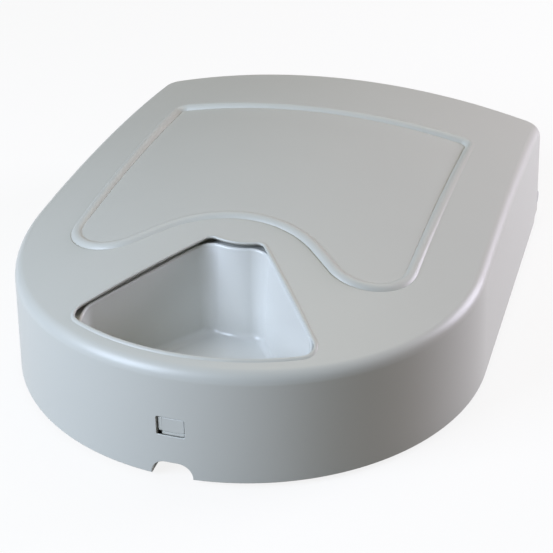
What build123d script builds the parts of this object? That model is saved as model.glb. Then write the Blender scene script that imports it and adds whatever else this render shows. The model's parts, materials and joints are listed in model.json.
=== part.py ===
from build123d import *
from math import acos, atan2, cos, degrees, hypot, pi, radians, sin, tan
import os

os.makedirs("parts", exist_ok=True)

# Five-meal pet feeder. Millimetres, +Z up. The origin is on the floor, under the
# tray's axis of rotation. The front, with the open meal, faces -Y.

# Driving dimensions of the whole
skirt_radius = 150.0        # round front of the lid's skirt, at floor level
back_y = 231.7              # rear face of the skirt, at floor level
side_taper = 0.88           # degrees that each side runs inwards to the back
draft = 2.0                 # degrees that every outer wall leans inwards
corner_radius = 15.0        # upright rear corners of the skirt
lid_wall = 2.5              # moulded wall of the lid
edge_round = 8.5            # rolled edge between the lid's top and its skirt
skirt_bottom = 3.0          # height of the skirt's lower edge
skirt_bottom_rear = 7.0     # the same behind the hinge, to clear the floor
rear_relief_y = 205.0
past = 10.0                 # how far a cutting block reaches past what it cuts

# Crown of the lid's top, and the flatter crown of its fan-shaped panel
crown_z = 99.3
crown_y = 93.6
crown_radius_x = 524.6
crown_radius_y = 1175.0
panel_z = 99.43
panel_y = 72.4
panel_radius_x = 466.0

# Fan-shaped panel outline
panel_half_width = 106.5
panel_half_back = 104.0
panel_back_y = 154.0
panel_back_bulge = 4.0
panel_corner = 4.0
lobe_turn = 0.35            # radians from a lobe's lowest point to its middle arc point
lobe_y = -29.0
lobe_radius = 19.5
wave_crest_y = -2.0
wave_radius = 66.0

# Meals: five wedges, 72 degrees apart
meals = 5
half_sector = 180.0 / meals
opening_inner = 34.0
opening_outer = 134.2
opening_flank = 4.7         # gap between the opening's side and the sector's edge
opening_corner_in = 5.0
opening_corner_out = 9.0
collar_wall = 2.0
collar_gap = 1.2            # running gap between the lid's collar and the tray
lip_height = 0.4

# Tray
rim_radius = 138.0
rim_z = 70.4
rim_depth = 11.0
hub_radius = 34.0
hub_z = 86.5
tray_wall = 2.0
bowl_inner = 35.6
bowl_outer = 134.6
bowl_flank = 4.3
bowl_floor = 28.0
bowl_draft = 4.0
bowl_corner_in = 9.0
bowl_corner_out = 12.0
bowl_fillet = 8.0
bowl_reference_z = 78.0     # height at which the bowl's plan sizes hold
column_radius = 17.0
key_radius = 12.0
key_gap = 0.3
key_top = 60.0
finger_hole = (9.0, 30.0, 4.0)      # width, length and corner of the holes in the hub
finger_hole_x = 23.0

# Base
base_inset = 4.5            # from the skirt's outer face to the base's outer face
base_back_y = 207.0
base_wall = 2.5
floor_bottom = 2.0
floor_top = 4.5
floor_inset = 3.8          # the floor plate ends inside the skirt
well_radius = 140.5
well_wall = 2.0
well_floor = 22.0
cavity_top = 19.5
deck_top = 64.0
deck_under = 61.5
boss_radius = 4.0
screw_radius = 1.5
screw_head = (3.0, 1.2)     # radius and height
cross_slot = (4.0, 0.8, 0.7)        # length, width and depth in a screw's head
screw_sink = 0.2            # from the floor plate's underside to the head
head_clear = 0.3            # round a screw's head
head_gap = 0.2              # under a pin's head or a button's flange
foot_radius = 7.5
foot_socket = (6.0, 1.0)    # radius and depth
foot_flare = 8.0            # degrees

# Hinge
hinge_y = 219.5
hinge_z = 16.5
pin_radius = 3.45
pin_gap = 0.05
pin_head_radius = 4.7
pin_head = 1.0
counterbore_radius = 5.0
counterbore_depth = 1.3
ear_in = 129.5
ear_out = 135.5
ear_gap = 0.6
ear_radius = 7.0
pin_root = 3.0              # length of a hinge pin inside its ear

# Latch
window_width = 17.0
window_low = 30.5
window_high = 42.5
window_corner = 1.0
latch_pivot_y = -141.8
latch_pivot_z = 21.5
latch_pin_radius = 1.25
latch_boss_radius = 2.8
lever_half = 7.5
lever_front = -143.3
lever_back = -140.4
groove_depth = 1.4          # of the groove inside the skirt, in which the nose runs
nose_depth = 0.9            # how far the nose stands into that groove
latch_ear = (3.0, 5.4, 7.0)
latch_ear_y = -140.6
spring_wire = 0.8
pocket_half = 13.0
pocket_back = 137.9
pocket_wall = 1.5
pocket_low = 18.0
pocket_high = 50.0
finger_back = 127.0
finger_top = 13.5
notch_width = 25.0
notch_top = 12.5
notch_corner = 9.0

# Drive
module = 1.0
pressure_angle = 20.0
addendum = 0.8
dedendum = 1.15
backlash = 0.12
flank_steps = 4
gear_teeth = 84
wheel_teeth = 42
pinion_teeth = 14
gear_radius = gear_teeth * module / 2
wheel_radius = wheel_teeth * module / 2
pinion_radius = pinion_teeth * module / 2
idler_y = gear_radius + pinion_radius
motor_y = idler_y + wheel_radius + pinion_radius
gear_low = 11.0
gear_high = 15.5
wheel_low = 6.5
wheel_high = 10.0
shaft_radius = 6.0
pad_height = 2.0            # of the pad under the hub's shaft
axle_radius = 1.5
axle_post_radius = 3.5
axle_sink = 1.5             # depth of the axle's sockets
motor_radius = 12.0
motor_cup = (2.0, 14.0)     # wall and lower edge
motor_boss_radius = 3.0
motor_shaft_radius = 1.0
gear_gap = 0.3
hub_foot = 0.4              # the hub's foot is this far above the wheel's lower face
hub_flange = (0.5, 3.0)     # height above the well's floor, and thickness
key_chamfer = 1.5
bearing_radius = 8.5
bearing_lip = 0.2
bearing_flange = (10.5, 1.5)
gear_holes = (22.0, 7.0)    # circle and radius
magnet_circle = 30.0
magnet_radius = 2.5
magnet_sink = 2.0
magnet_height = 2.4
sensor_size = (8.0, 6.0, 1.6)

# Batteries: four D cells, two in each rear corner
cell_radius = 16.6
cell_length = 59.5
cell_nub_radius = 4.75
cell_nub = 1.5
cell_x = (81.5, 115.5)
cell_y = 137.5
cell_z = 22.2
bay_x = (63.5, 133.5)
bay_y = (134.0, 201.0)
bay_wall = 1.5
bay_top = 39.6
door_top = 3.8
door_gap = 0.3
door_tongue = 1.5
tongue_height = 1.0
grip_groove = (30.0, 1.8, 0.8, 0.6)     # length, width, corner and depth
grip_grooves = 4
grip_pitch = 4.0
contact_sheet = 0.5
contact_size = (62.0, 22.0, 4.0)
contact_pad_radius = 3.5
contact_spring_radius = 9.0

# Controls on the rear deck
panel_size = (120.0, 44.0)
panel_mid_y = 181.0
control_plate = 2.0
window_size = (48.0, 22.0)
window_x = -26.0
button_radius = 5.0
pillar_points = ((55, 164), (55, 198), (-55, 164), (-55, 198))
button_points = [(22.0 + 24.0 * column, 171.5 + 18.0 * row) for row in (0, 1) for column in (0, 1)]
button_names = ("clock_button", "meal_button", "down_button", "up_button")
button_top = 68.2
button_travel = 1.0
button_flange = 1.5
button_edge = 0.8
stem_radius = 2.0
panel_corner_radius = 5.0
deck_cut = (10.0, 8.0)      # how much smaller the deck's cut-out is than the plate
lens_sink = 0.5
board_z = 52.0
board_thickness = 1.6
board_size = (116.0, 42.0)
pillar_radius = 3.4
switch_size = (6.0, 6.0, 2.5)
switch_key = (1.6, 1.0)     # radius and height

screw_points = ((80, -85), (-80, -85), (118, 40), (-118, 40), (30, 152), (-30, 152))
# Four outer feet, and one in the middle under the turntable
foot_points = ((92, -64), (-92, -64), (52, 192), (-52, 192), (0, 0))


def lean(height):
    """Distance that a drafted wall has moved inwards at a height."""
    return height * tan(radians(draft))


def side_wall_x(y, height):
    """X of the skirt's flat side at a place along it and at a height."""
    taper = radians(side_taper)
    return skirt_radius * cos(taper) - (y - skirt_radius * sin(taper)) * tan(taper) - lean(height)


def casing_outline(inset, rear):
    """Plan of the casing: a round front, slightly tapering sides and a flat back."""
    radius = skirt_radius - inset
    taper = radians(side_taper)
    side = (radius * cos(taper), radius * sin(taper))
    back = (side[0] - (rear - side[1]) * tan(taper), rear)
    with BuildSketch() as outline:
        with BuildLine():
            ThreePointArc((-side[0], side[1]), (0, -radius), side)
            Polyline(side, back, (-back[0], rear), (-side[0], side[1]))
        make_face()
        fillet(outline.vertices().sort_by(Axis.Y)[-2:], corner_radius - inset)
    return outline.sketch


def casing_block(inset, rear, low, high):
    """Drafted block of the casing's plan between two heights."""
    with BuildPart() as block:
        with BuildSketch(Plane.XY.offset(low)):
            add(casing_outline(inset + lean(low), rear - lean(low)))
        extrude(amount=high - low, taper=draft)
    return block.part


def crown_solid(top_z, top_y, radius_x, radius_y):
    """Barrel whose upper side is the crown, curved across X and along Y."""
    reach = 2 * back_y
    sag = radius_y - (radius_y**2 - reach**2) ** 0.5
    with BuildPart() as barrel:
        with BuildSketch(Plane.YZ):
            with BuildLine():
                ThreePointArc((top_y - reach, top_z - sag), (top_y, top_z), (top_y + reach, top_z - sag))
                Polyline(
                    (top_y + reach, top_z - sag),
                    (top_y + reach, top_z - radius_x),
                    (top_y - reach, top_z - radius_x),
                    (top_y - reach, top_z - sag),
                )
            make_face()
        revolve(axis=Axis((0, 0, top_z - radius_x), (0, 1, 0)))
    return barrel.part


def lid_crown(rise):
    return crown_solid(crown_z + rise, crown_y, crown_radius_x + rise, crown_radius_y + rise)


def panel_crown(rise):
    return crown_solid(panel_z + rise, panel_y, panel_radius_x + rise, crown_radius_y + rise)


def panel_outline(grow):
    """Fan: straight sides, gently bowed back, and a front wave between two round lobes."""
    lobe = lobe_radius + grow
    wave = wave_radius - grow
    lobe_x = panel_half_width - lobe_radius
    wave_y = wave_crest_y - wave_radius
    reach = hypot(lobe_x, lobe_y - wave_y)
    turn = atan2(lobe_y - wave_y, lobe_x) + acos((wave + lobe) / reach)
    wave_end = (wave * cos(turn), wave_y + wave * sin(turn))
    lobe_start = (lobe_x - lobe * cos(turn), lobe_y - lobe * sin(turn))
    lobe_low = (lobe_x + lobe * sin(lobe_turn), lobe_y - lobe * cos(lobe_turn))
    wave_turn = (turn + pi / 2) / 2
    wave_mid = (wave * cos(wave_turn), wave_y + wave * sin(wave_turn))
    lobe_end = (lobe_x + lobe, lobe_y)
    corner = (panel_half_back + grow, panel_back_y + grow)
    with BuildSketch() as fan:
        with BuildLine() as half:
            ThreePointArc((0, wave_y + wave), wave_mid, wave_end)
            Line(wave_end, lobe_start)
            ThreePointArc(lobe_start, lobe_low, lobe_end)
            Line(lobe_end, corner)
            mirror(about=Plane.YZ)
            ThreePointArc(corner, (0, corner[1] + panel_back_bulge), (-corner[0], corner[1]))
        make_face()
        fillet(fan.vertices().filter_by(lambda v: v.Y > panel_back_y - 1), panel_corner + grow)
    return fan.sketch


def meal_wedge(inner, outer, flank, inner_corner, outer_corner):
    """Plan of one meal, pointing to the front."""
    half = radians(half_sector)
    apex = -flank / sin(half)
    reach = 2 * outer
    with BuildSketch() as wedge:
        with BuildLine():
            Polyline(
                (0, apex),
                (reach * sin(half), apex - reach * cos(half)),
                (-reach * sin(half), apex - reach * cos(half)),
                close=True,
            )
        make_face()
        Circle(outer, mode=Mode.INTERSECT)
        Circle(inner, mode=Mode.SUBTRACT)
        by_reach = wedge.vertices().sort_by(lambda v: hypot(v.X, v.Y))
        fillet(by_reach[:2], inner_corner)
        by_reach = wedge.vertices().sort_by(lambda v: hypot(v.X, v.Y))
        fillet(by_reach[-2:], outer_corner)
    return wedge.sketch


def tray_cone(rise):
    """Everything under the tray's cone-shaped top, raised by a given amount."""
    with BuildPart() as cone:
        with BuildSketch(Plane.XZ):
            with BuildLine():
                Polyline(
                    (0, 0),
                    (0, hub_z + rise),
                    (hub_radius, hub_z + rise),
                    (rim_radius, rim_z + rise),
                    (rim_radius, 0),
                    close=True,
                )
            make_face()
        revolve(axis=Axis.Z)
    return cone.part


def bowl_block(grow, floor):
    """Drafted block of one bowl, wider towards its top."""
    shrink = (bowl_reference_z - floor) * tan(radians(bowl_draft)) - grow
    with BuildPart() as block:
        with BuildSketch(Plane.XY.offset(floor)):
            add(
                meal_wedge(
                    bowl_inner + shrink,
                    bowl_outer - shrink,
                    bowl_flank + shrink,
                    bowl_corner_in + grow,
                    bowl_corner_out + grow,
                )
            )
        extrude(amount=hub_z + past - floor, taper=-bowl_draft)
        fillet(block.edges().group_by(Axis.Z)[0], bowl_fillet + grow / 2)
    return block.part


def involute(angle):
    return tan(angle) - angle


def gear_points(teeth, phase):
    """Outline of a spur gear, with one tooth centred on the phase angle in degrees."""
    pitch_r = teeth * module / 2
    base_r = pitch_r * cos(radians(pressure_angle))
    tip_r = pitch_r + addendum * module
    root_r = pitch_r - dedendum * module
    half_pitch = pi / (2 * teeth) - backlash / (2 * pitch_r)
    start_r = max(base_r, root_r)
    radii = [start_r + (tip_r - start_r) * step / flank_steps for step in range(flank_steps + 1)]
    spread = [half_pitch + involute(radians(pressure_angle)) - involute(acos(base_r / r)) for r in radii]
    flank = [(root_r, spread[0])] if root_r < base_r else []
    flank += list(zip(radii, spread))
    points = []
    for tooth in range(teeth):
        middle = radians(phase) + 2 * pi * tooth / teeth
        points += [(r * cos(middle - a), r * sin(middle - a)) for r, a in flank]
        points += [(r * cos(middle + a), r * sin(middle + a)) for r, a in reversed(flank)]
    return points


def save(piece, name):
    piece.part.label = name
    export_step(piece.part, f"parts/{name}.step")


# Lid: crowned top, drafted skirt, fan panel, meal opening with its collar
with BuildPart() as lid_blank:
    add(casing_block(0, back_y, 0, crown_z + past))
    add(lid_crown(0), mode=Mode.INTERSECT)
    fillet(lid_blank.faces().sort_by(Axis.Z)[-1].edges(), edge_round)

with BuildPart() as panel_cut:
    with BuildSketch(Plane.XY.offset(deck_top)):
        add(panel_outline(0))
    extrude(amount=2 * (crown_z - deck_top))

with BuildPart() as panel_plate:
    add(panel_cut.part)
    add(panel_crown(0), mode=Mode.INTERSECT)

with BuildPart() as panel_under:
    with BuildSketch(Plane.XY.offset(deck_top)):
        add(panel_outline(lid_wall))
    extrude(amount=2 * (crown_z - deck_top))
    add(panel_crown(-lid_wall), mode=Mode.SUBTRACT)

with BuildPart() as lid_cavity:
    add(casing_block(lid_wall, back_y - lid_wall, 0, crown_z + past))
    add(lid_crown(-lid_wall), mode=Mode.INTERSECT)
    fillet(lid_cavity.faces().sort_by(Axis.Z)[-1].edges(), edge_round - lid_wall)
    add(panel_under.part, mode=Mode.SUBTRACT)

with BuildPart() as collar:
    with BuildSketch(Plane.XY.offset(deck_top)):
        add(
            meal_wedge(
                opening_inner - collar_wall,
                opening_outer + collar_wall,
                opening_flank - collar_wall,
                opening_corner_in + collar_wall,
                opening_corner_out + collar_wall,
            )
        )
    extrude(amount=2 * (crown_z - deck_top))
    add(lid_crown(lip_height), mode=Mode.INTERSECT)
    add(tray_cone(collar_gap), mode=Mode.SUBTRACT)

with BuildPart() as lid_shell:
    add(lid_blank.part)
    add(panel_cut.part, mode=Mode.SUBTRACT)
    add(panel_plate.part)
    add(lid_cavity.part, mode=Mode.SUBTRACT)
    add(collar.part)
    with BuildSketch(Plane.XY.offset(deck_top)):
        add(meal_wedge(opening_inner, opening_outer, opening_flank, opening_corner_in, opening_corner_out))
    extrude(amount=2 * (crown_z - deck_top), mode=Mode.SUBTRACT)
    # Lower edge of the skirt, higher behind the hinge
    with Locations((0, 0, skirt_bottom / 2)):
        Box(4 * skirt_radius, 4 * skirt_radius, skirt_bottom, mode=Mode.SUBTRACT)
    with Locations((0, rear_relief_y + back_y / 2, skirt_bottom_rear / 2)):
        Box(4 * skirt_radius, back_y, skirt_bottom_rear, mode=Mode.SUBTRACT)
    # Finger notch and latch window in the front of the skirt
    with BuildSketch(Plane.XZ.offset(skirt_radius - past)):
        RectangleRounded(notch_width, 2 * notch_top, notch_corner)
        with Locations((0, (window_low + window_high) / 2)):
            RectangleRounded(window_width, window_high - window_low, window_corner)
    extrude(amount=2 * past, mode=Mode.SUBTRACT)
    # Groove inside the skirt, as steep as its wall, in which the latch's nose runs as the lid comes up
    groove_foot = lid_wall - groove_depth - skirt_radius
    with BuildSketch(Plane.YZ.offset(-window_width / 2)):
        with BuildLine():
            Polyline(
                (groove_foot, 0),
                (groove_foot + lean(window_high), window_high),
                (groove_foot + past, window_high),
                (groove_foot + past, 0),
                close=True,
            )
        make_face()
    extrude(amount=window_width, mode=Mode.SUBTRACT)
    # Bosses and bores for the hinge pins
    wall_x = side_wall_x(hinge_y, hinge_z)
    for side in (1, -1):
        with BuildSketch(Plane.YZ.offset(side * (ear_out + ear_gap))):
            with Locations((hinge_y, hinge_z)):
                Circle(ear_radius)
        extrude(amount=side * (wall_x - lid_wall / 2 - ear_out - ear_gap))
        with BuildSketch(Plane.YZ.offset(side * ear_out)):
            with Locations((hinge_y, hinge_z)):
                Circle(pin_radius + pin_gap)
        extrude(amount=side * (wall_x + lid_wall - ear_out), mode=Mode.SUBTRACT)
        with BuildSketch(Plane.YZ.offset(side * (wall_x - counterbore_depth))):
            with Locations((hinge_y, hinge_z)):
                Circle(counterbore_radius)
        extrude(amount=side * past, mode=Mode.SUBTRACT)
save(lid_shell, "lid_shell")

# Meal tray: cone-shaped top, five bowls, rim, hub with a five-sided socket
with BuildPart() as bowl_skin:
    add(bowl_block(tray_wall, bowl_floor - tray_wall))
    add(tray_cone(0), mode=Mode.INTERSECT)

with BuildPart() as meal_tray:
    with BuildSketch(Plane.XZ):
        with BuildLine():
            Polyline(
                (0, hub_z),
                (hub_radius, hub_z),
                (rim_radius, rim_z),
                (rim_radius, rim_z - rim_depth),
                (rim_radius - tray_wall, rim_z - rim_depth),
                (rim_radius - tray_wall, rim_z - tray_wall),
                (hub_radius, hub_z - tray_wall),
                (0, hub_z - tray_wall),
                close=True,
            )
        make_face()
    revolve(axis=Axis.Z)
    with PolarLocations(0, meals):
        add(bowl_skin.part)
    with BuildSketch(Plane.XY.offset(bowl_floor)):
        Circle(column_radius)
    extrude(amount=hub_z - tray_wall - bowl_floor)
    with PolarLocations(0, meals):
        add(bowl_block(0, bowl_floor), mode=Mode.SUBTRACT)
    with BuildSketch(Plane.XY.offset(bowl_floor)):
        RegularPolygon(key_radius + key_gap, meals)
    extrude(amount=key_top + key_gap - bowl_floor, mode=Mode.SUBTRACT)
    # Finger holes beside the hub's middle, for lifting the tray out
    with BuildSketch(Plane.XY.offset(hub_z - 2 * tray_wall)):
        with Locations((-finger_hole_x, 0), (finger_hole_x, 0)):
            RectangleRounded(*finger_hole)
    extrude(amount=3 * tray_wall, mode=Mode.SUBTRACT)
save(meal_tray, "meal_tray")

# Base shell: outer wall, round tray well, rear deck, all open underneath
with BuildPart() as rear_hollow:
    add(casing_block(base_inset + base_wall, base_back_y - base_wall, floor_top, deck_under))
    with BuildSketch(Plane.XY):
        Circle(well_radius + well_wall)
    extrude(amount=deck_top, mode=Mode.SUBTRACT)
    with Locations((0, -skirt_radius / 2, deck_top / 2)):
        Box(2 * skirt_radius, skirt_radius, deck_top, mode=Mode.SUBTRACT)

with BuildPart() as pocket_walls:
    for low, high, back in (
        (pocket_low - pocket_wall, pocket_high + pocket_wall, pocket_back - pocket_wall),
        (floor_top, finger_top + pocket_wall, finger_back - pocket_wall),
    ):
        with Locations((0, -(skirt_radius + back) / 2, (low + high) / 2)):
            Box(2 * (pocket_half + pocket_wall), skirt_radius - back, high - low)
    add(casing_block(base_inset, base_back_y, floor_top, deck_top), mode=Mode.INTERSECT)

with BuildPart() as base_shell:
    add(casing_block(base_inset, base_back_y, floor_top, deck_top))
    base_room = casing_block(base_inset + base_wall, base_back_y - base_wall, floor_top, cavity_top)
    add(base_room, mode=Mode.SUBTRACT)
    add(rear_hollow.part, mode=Mode.SUBTRACT)
    with BuildSketch(Plane.XY.offset(well_floor)):
        Circle(well_radius)
    extrude(amount=deck_top, mode=Mode.SUBTRACT)
    add(pocket_walls.part)
    # Latch pocket and finger recess, both open to the front
    with Locations((0, -(skirt_radius + pocket_back) / 2, (pocket_low + pocket_high) / 2)):
        Box(2 * pocket_half, skirt_radius - pocket_back, pocket_high - pocket_low, mode=Mode.SUBTRACT)
    with Locations((0, -(skirt_radius + finger_back) / 2, finger_top / 2)):
        Box(2 * pocket_half, skirt_radius - finger_back, finger_top, mode=Mode.SUBTRACT)
    # Ears for the latch's pin
    for side in (1, -1):
        with Locations((side * (pocket_half - latch_ear[0] / 2), latch_ear_y, latch_pivot_z)):
            Box(*latch_ear)
    with BuildSketch(Plane.YZ.offset(-pocket_half)):
        with Locations((latch_pivot_y, latch_pivot_z)):
            Circle(latch_pin_radius)
    extrude(amount=2 * pocket_half, mode=Mode.SUBTRACT)
    # Screw bosses under the well floor and the rear deck
    for x, y in screw_points:
        boss_top = deck_under if y > well_radius else cavity_top
        with BuildSketch(Plane.XY.offset(floor_top)):
            with Locations((x, y)):
                Circle(boss_radius)
                Circle(screw_radius, mode=Mode.SUBTRACT)
        extrude(amount=boss_top - floor_top)
    # Cup for the motor, bearing hole, axle socket and control cut-out
    with BuildSketch(Plane.XY.offset(motor_cup[1])):
        with Locations((0, motor_y)):
            Circle(motor_radius + motor_cup[0])
            Circle(motor_radius, mode=Mode.SUBTRACT)
    extrude(amount=cavity_top - motor_cup[1])
    with BuildSketch(Plane.XY.offset(floor_top)):
        Circle(bearing_radius)
    extrude(amount=well_floor, mode=Mode.SUBTRACT)
    with BuildSketch(Plane.XY.offset(cavity_top)):
        with Locations((0, idler_y)):
            Circle(axle_radius)
    extrude(amount=axle_sink, mode=Mode.SUBTRACT)
    with BuildSketch(Plane.XY.offset(deck_under - past / 2)):
        with Locations((0, panel_mid_y)):
            Rectangle(panel_size[0] - deck_cut[0], panel_size[1] - deck_cut[1])
    extrude(amount=past, mode=Mode.SUBTRACT)
    # Pillars that hold the circuit board
    with BuildSketch(Plane.XY.offset(board_z + board_thickness)):
        with Locations(*pillar_points):
            Circle(pillar_radius)
    extrude(amount=deck_under - board_z - board_thickness)
    # Ears for the hinge pins
    for side in (1, -1):
        with BuildSketch(Plane.YZ.offset(side * ear_in)):
            with Locations((hinge_y, hinge_z)):
                Circle(ear_radius)
            with Locations(((base_back_y - base_wall + hinge_y) / 2, hinge_z)):
                Rectangle(hinge_y - base_back_y + base_wall, 2 * ear_radius)
            with Locations((hinge_y, hinge_z)):
                Circle(pin_radius, mode=Mode.SUBTRACT)
        extrude(amount=side * (ear_out - ear_in))
save(base_shell, "base_shell")

# Base floor: plate that closes the base, battery bays, door slots and gear supports
door_width = bay_x[1] - bay_x[0]
axle_low = floor_bottom + axle_sink / 3
with BuildPart() as base_floor:
    with BuildSketch(Plane.XY.offset(floor_bottom)):
        add(casing_outline(floor_inset, base_back_y))
        with Locations((0, -(skirt_radius + finger_back) / 2)):
            Rectangle(2 * pocket_half, skirt_radius - finger_back, mode=Mode.SUBTRACT)
    extrude(amount=floor_top - floor_bottom)
    for side in (1, -1):
        bay_mid = side * (bay_x[0] + bay_x[1]) / 2
        with BuildSketch(Plane.XY.offset(floor_top)):
            with Locations((bay_mid, (bay_y[0] + bay_y[1]) / 2)):
                Rectangle(door_width + 2 * bay_wall, bay_y[1] - bay_y[0] + 2 * bay_wall)
        extrude(amount=bay_top + bay_wall - floor_top)
    add(casing_block(floor_inset - lean(floor_top), base_back_y, 0, deck_top), mode=Mode.INTERSECT)
    for side in (1, -1):
        bay_mid = side * (bay_x[0] + bay_x[1]) / 2
        with BuildSketch(Plane.XY.offset(floor_bottom)):
            with Locations((bay_mid, (bay_y[0] + bay_y[1]) / 2)):
                Rectangle(door_width, bay_y[1] - bay_y[0])
        extrude(amount=bay_top - floor_bottom, mode=Mode.SUBTRACT)
        # Slot for the sliding door, with grooves for its tongues
        with BuildSketch(Plane.XY.offset(floor_bottom)):
            with Locations((bay_mid, (bay_y[0] + base_back_y) / 2 + 1)):
                Rectangle(door_width, base_back_y - bay_y[0] + 2)
        extrude(amount=door_top + door_gap - floor_bottom, mode=Mode.SUBTRACT)
        with BuildSketch(Plane.XY.offset(door_top - tongue_height - door_gap)):
            with Locations((bay_mid, (bay_y[0] + base_back_y) / 2 + 1)):
                Rectangle(door_width + 2 * door_tongue + 2 * door_gap, base_back_y - bay_y[0] + 2)
        extrude(amount=tongue_height + 2 * door_gap, mode=Mode.SUBTRACT)
    # Supports: shaft pad, axle post, screw holes, foot sockets
    with BuildSketch(Plane.XY.offset(floor_top)):
        Circle(shaft_radius + pad_height)
    extrude(amount=pad_height)
    with BuildSketch(Plane.XY.offset(floor_top)):
        with Locations((0, idler_y)):
            Circle(axle_post_radius)
    extrude(amount=wheel_low - floor_top - gear_gap)
    with BuildSketch(Plane.XY.offset(axle_low)):
        with Locations((0, idler_y)):
            Circle(axle_radius)
    extrude(amount=deck_top, mode=Mode.SUBTRACT)
    with BuildSketch(Plane.XY.offset(floor_bottom)):
        with Locations(*screw_points):
            Circle(screw_radius)
    extrude(amount=deck_top, mode=Mode.SUBTRACT)
    with BuildSketch(Plane.XY.offset(floor_bottom)):
        with Locations(*screw_points):
            Circle(screw_head[0] + head_clear)
    extrude(amount=screw_sink + screw_head[1], mode=Mode.SUBTRACT)
    with BuildSketch(Plane.XY.offset(floor_bottom)):
        with Locations(*foot_points):
            Circle(foot_socket[0])
    extrude(amount=foot_socket[1], mode=Mode.SUBTRACT)
save(base_floor, "base_floor")

with BuildPart() as floor_screws:
    with BuildSketch(Plane.XY.offset(floor_bottom + screw_sink)):
        with Locations(*screw_points):
            Circle(screw_head[0])
    extrude(amount=screw_head[1])
    with BuildSketch(Plane.XY.offset(floor_bottom + screw_sink + screw_head[1])):
        with Locations(*screw_points):
            Circle(screw_radius)
    extrude(amount=past)
    with BuildSketch(Plane.XY.offset(floor_bottom + screw_sink)):
        with Locations(*screw_points):
            Rectangle(cross_slot[0], cross_slot[1])
            Rectangle(cross_slot[1], cross_slot[0])
    extrude(amount=cross_slot[2], mode=Mode.SUBTRACT)
save(floor_screws, "floor_screws")

with BuildPart() as rubber_feet:
    with BuildSketch(Plane.XY):
        with Locations(*foot_points):
            Circle(foot_radius)
    extrude(amount=floor_bottom, taper=-foot_flare)
    with BuildSketch(Plane.XY.offset(floor_bottom)):
        with Locations(*foot_points):
            Circle(foot_socket[0])
    extrude(amount=foot_socket[1])
save(rubber_feet, "rubber_feet")

# Battery cells, alternately turned, with their contacts
with BuildPart() as battery_cells:
    for side in (1, -1):
        for x in cell_x:
            nub_at_rear = x == cell_x[0]
            with BuildSketch(Plane.XZ.offset(-cell_y)):
                with Locations((side * x, cell_z)):
                    Circle(cell_radius)
            extrude(amount=-cell_length)
            nub_y = cell_y + cell_length if nub_at_rear else cell_y - cell_nub
            with BuildSketch(Plane.XZ.offset(-nub_y)):
                with Locations((side * x, cell_z)):
                    Circle(cell_nub_radius)
            extrude(amount=-cell_nub)
save(battery_cells, "battery_cells")

with BuildPart() as battery_contacts:
    for side in (1, -1):
        for front in (True, False):
            sheet_y = bay_y[0] if front else bay_y[1] - contact_sheet
            with BuildSketch(Plane.XZ.offset(-sheet_y)):
                with Locations((side * sum(cell_x) / 2, cell_z)):
                    RectangleRounded(*contact_size)
            extrude(amount=-contact_sheet)
            inner_y = sheet_y + contact_sheet if front else sheet_y
            inward = 1 if front else -1
            for x in cell_x:
                meets_nub = (x == cell_x[0]) != front
                cell_end = cell_y if front else cell_y + cell_length
                reach = abs(cell_end - inner_y) - (cell_nub if meets_nub else 0)
                with BuildSketch(Plane.XZ.offset(-inner_y)):
                    with Locations((side * x, cell_z)):
                        Circle(contact_pad_radius if meets_nub else contact_spring_radius)
                extrude(amount=-inward * reach, taper=0 if meets_nub else 45)
save(battery_contacts, "battery_contacts")

for side, name in ((-1, "battery_door_left"), (1, "battery_door_right")):
    with BuildPart() as battery_door:
        door_mid = (side * (bay_x[0] + bay_x[1]) / 2, (bay_y[0] + door_gap + base_back_y) / 2)
        door_length = base_back_y - bay_y[0] - door_gap
        with BuildSketch(Plane.XY.offset(floor_bottom)):
            with Locations(door_mid):
                Rectangle(door_width - 2 * door_gap, door_length)
        extrude(amount=door_top - floor_bottom)
        with BuildSketch(Plane.XY.offset(door_top - tongue_height)):
            with Locations(door_mid):
                Rectangle(door_width - 2 * door_gap + 2 * door_tongue, door_length)
        extrude(amount=tongue_height)
        # Grip grooves near the rear edge
        grip_points = [(door_mid[0], base_back_y - past - grip_pitch * row) for row in range(grip_grooves)]
        with BuildSketch(Plane.XY.offset(floor_bottom)):
            with Locations(*grip_points):
                RectangleRounded(*grip_groove[:3])
        extrude(amount=grip_groove[3], mode=Mode.SUBTRACT)
    save(battery_door, name)

# Drive: motor, pinion, reduction wheel, turntable gear and keyed hub
with BuildPart() as drive_motor:
    with BuildSketch(Plane.XY.offset(gear_low)):
        with Locations((0, motor_y)):
            Circle(motor_radius)
    extrude(amount=cavity_top - gear_low)
    with BuildSketch(Plane.XY.offset(wheel_high)):
        with Locations((0, motor_y)):
            Circle(motor_boss_radius)
    extrude(amount=gear_low - wheel_high)
    with BuildSketch(Plane.XY.offset(floor_top)):
        with Locations((0, motor_y)):
            Circle(motor_shaft_radius + pin_gap)
    extrude(amount=deck_top, mode=Mode.SUBTRACT)
save(drive_motor, "drive_motor")

half_tooth = 180.0 / pinion_teeth
with BuildPart() as motor_pinion:
    with BuildSketch(Plane((0, motor_y, wheel_low))):
        with BuildLine():
            Polyline(*gear_points(pinion_teeth, half_tooth - 90), close=True)
        make_face()
    extrude(amount=wheel_high - wheel_low - gear_gap)
    with BuildSketch(Plane.XY.offset(wheel_low)):
        with Locations((0, motor_y)):
            Circle(motor_shaft_radius)
    extrude(amount=cavity_top - wheel_low - motor_shaft_radius)
save(motor_pinion, "motor_pinion")

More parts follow.
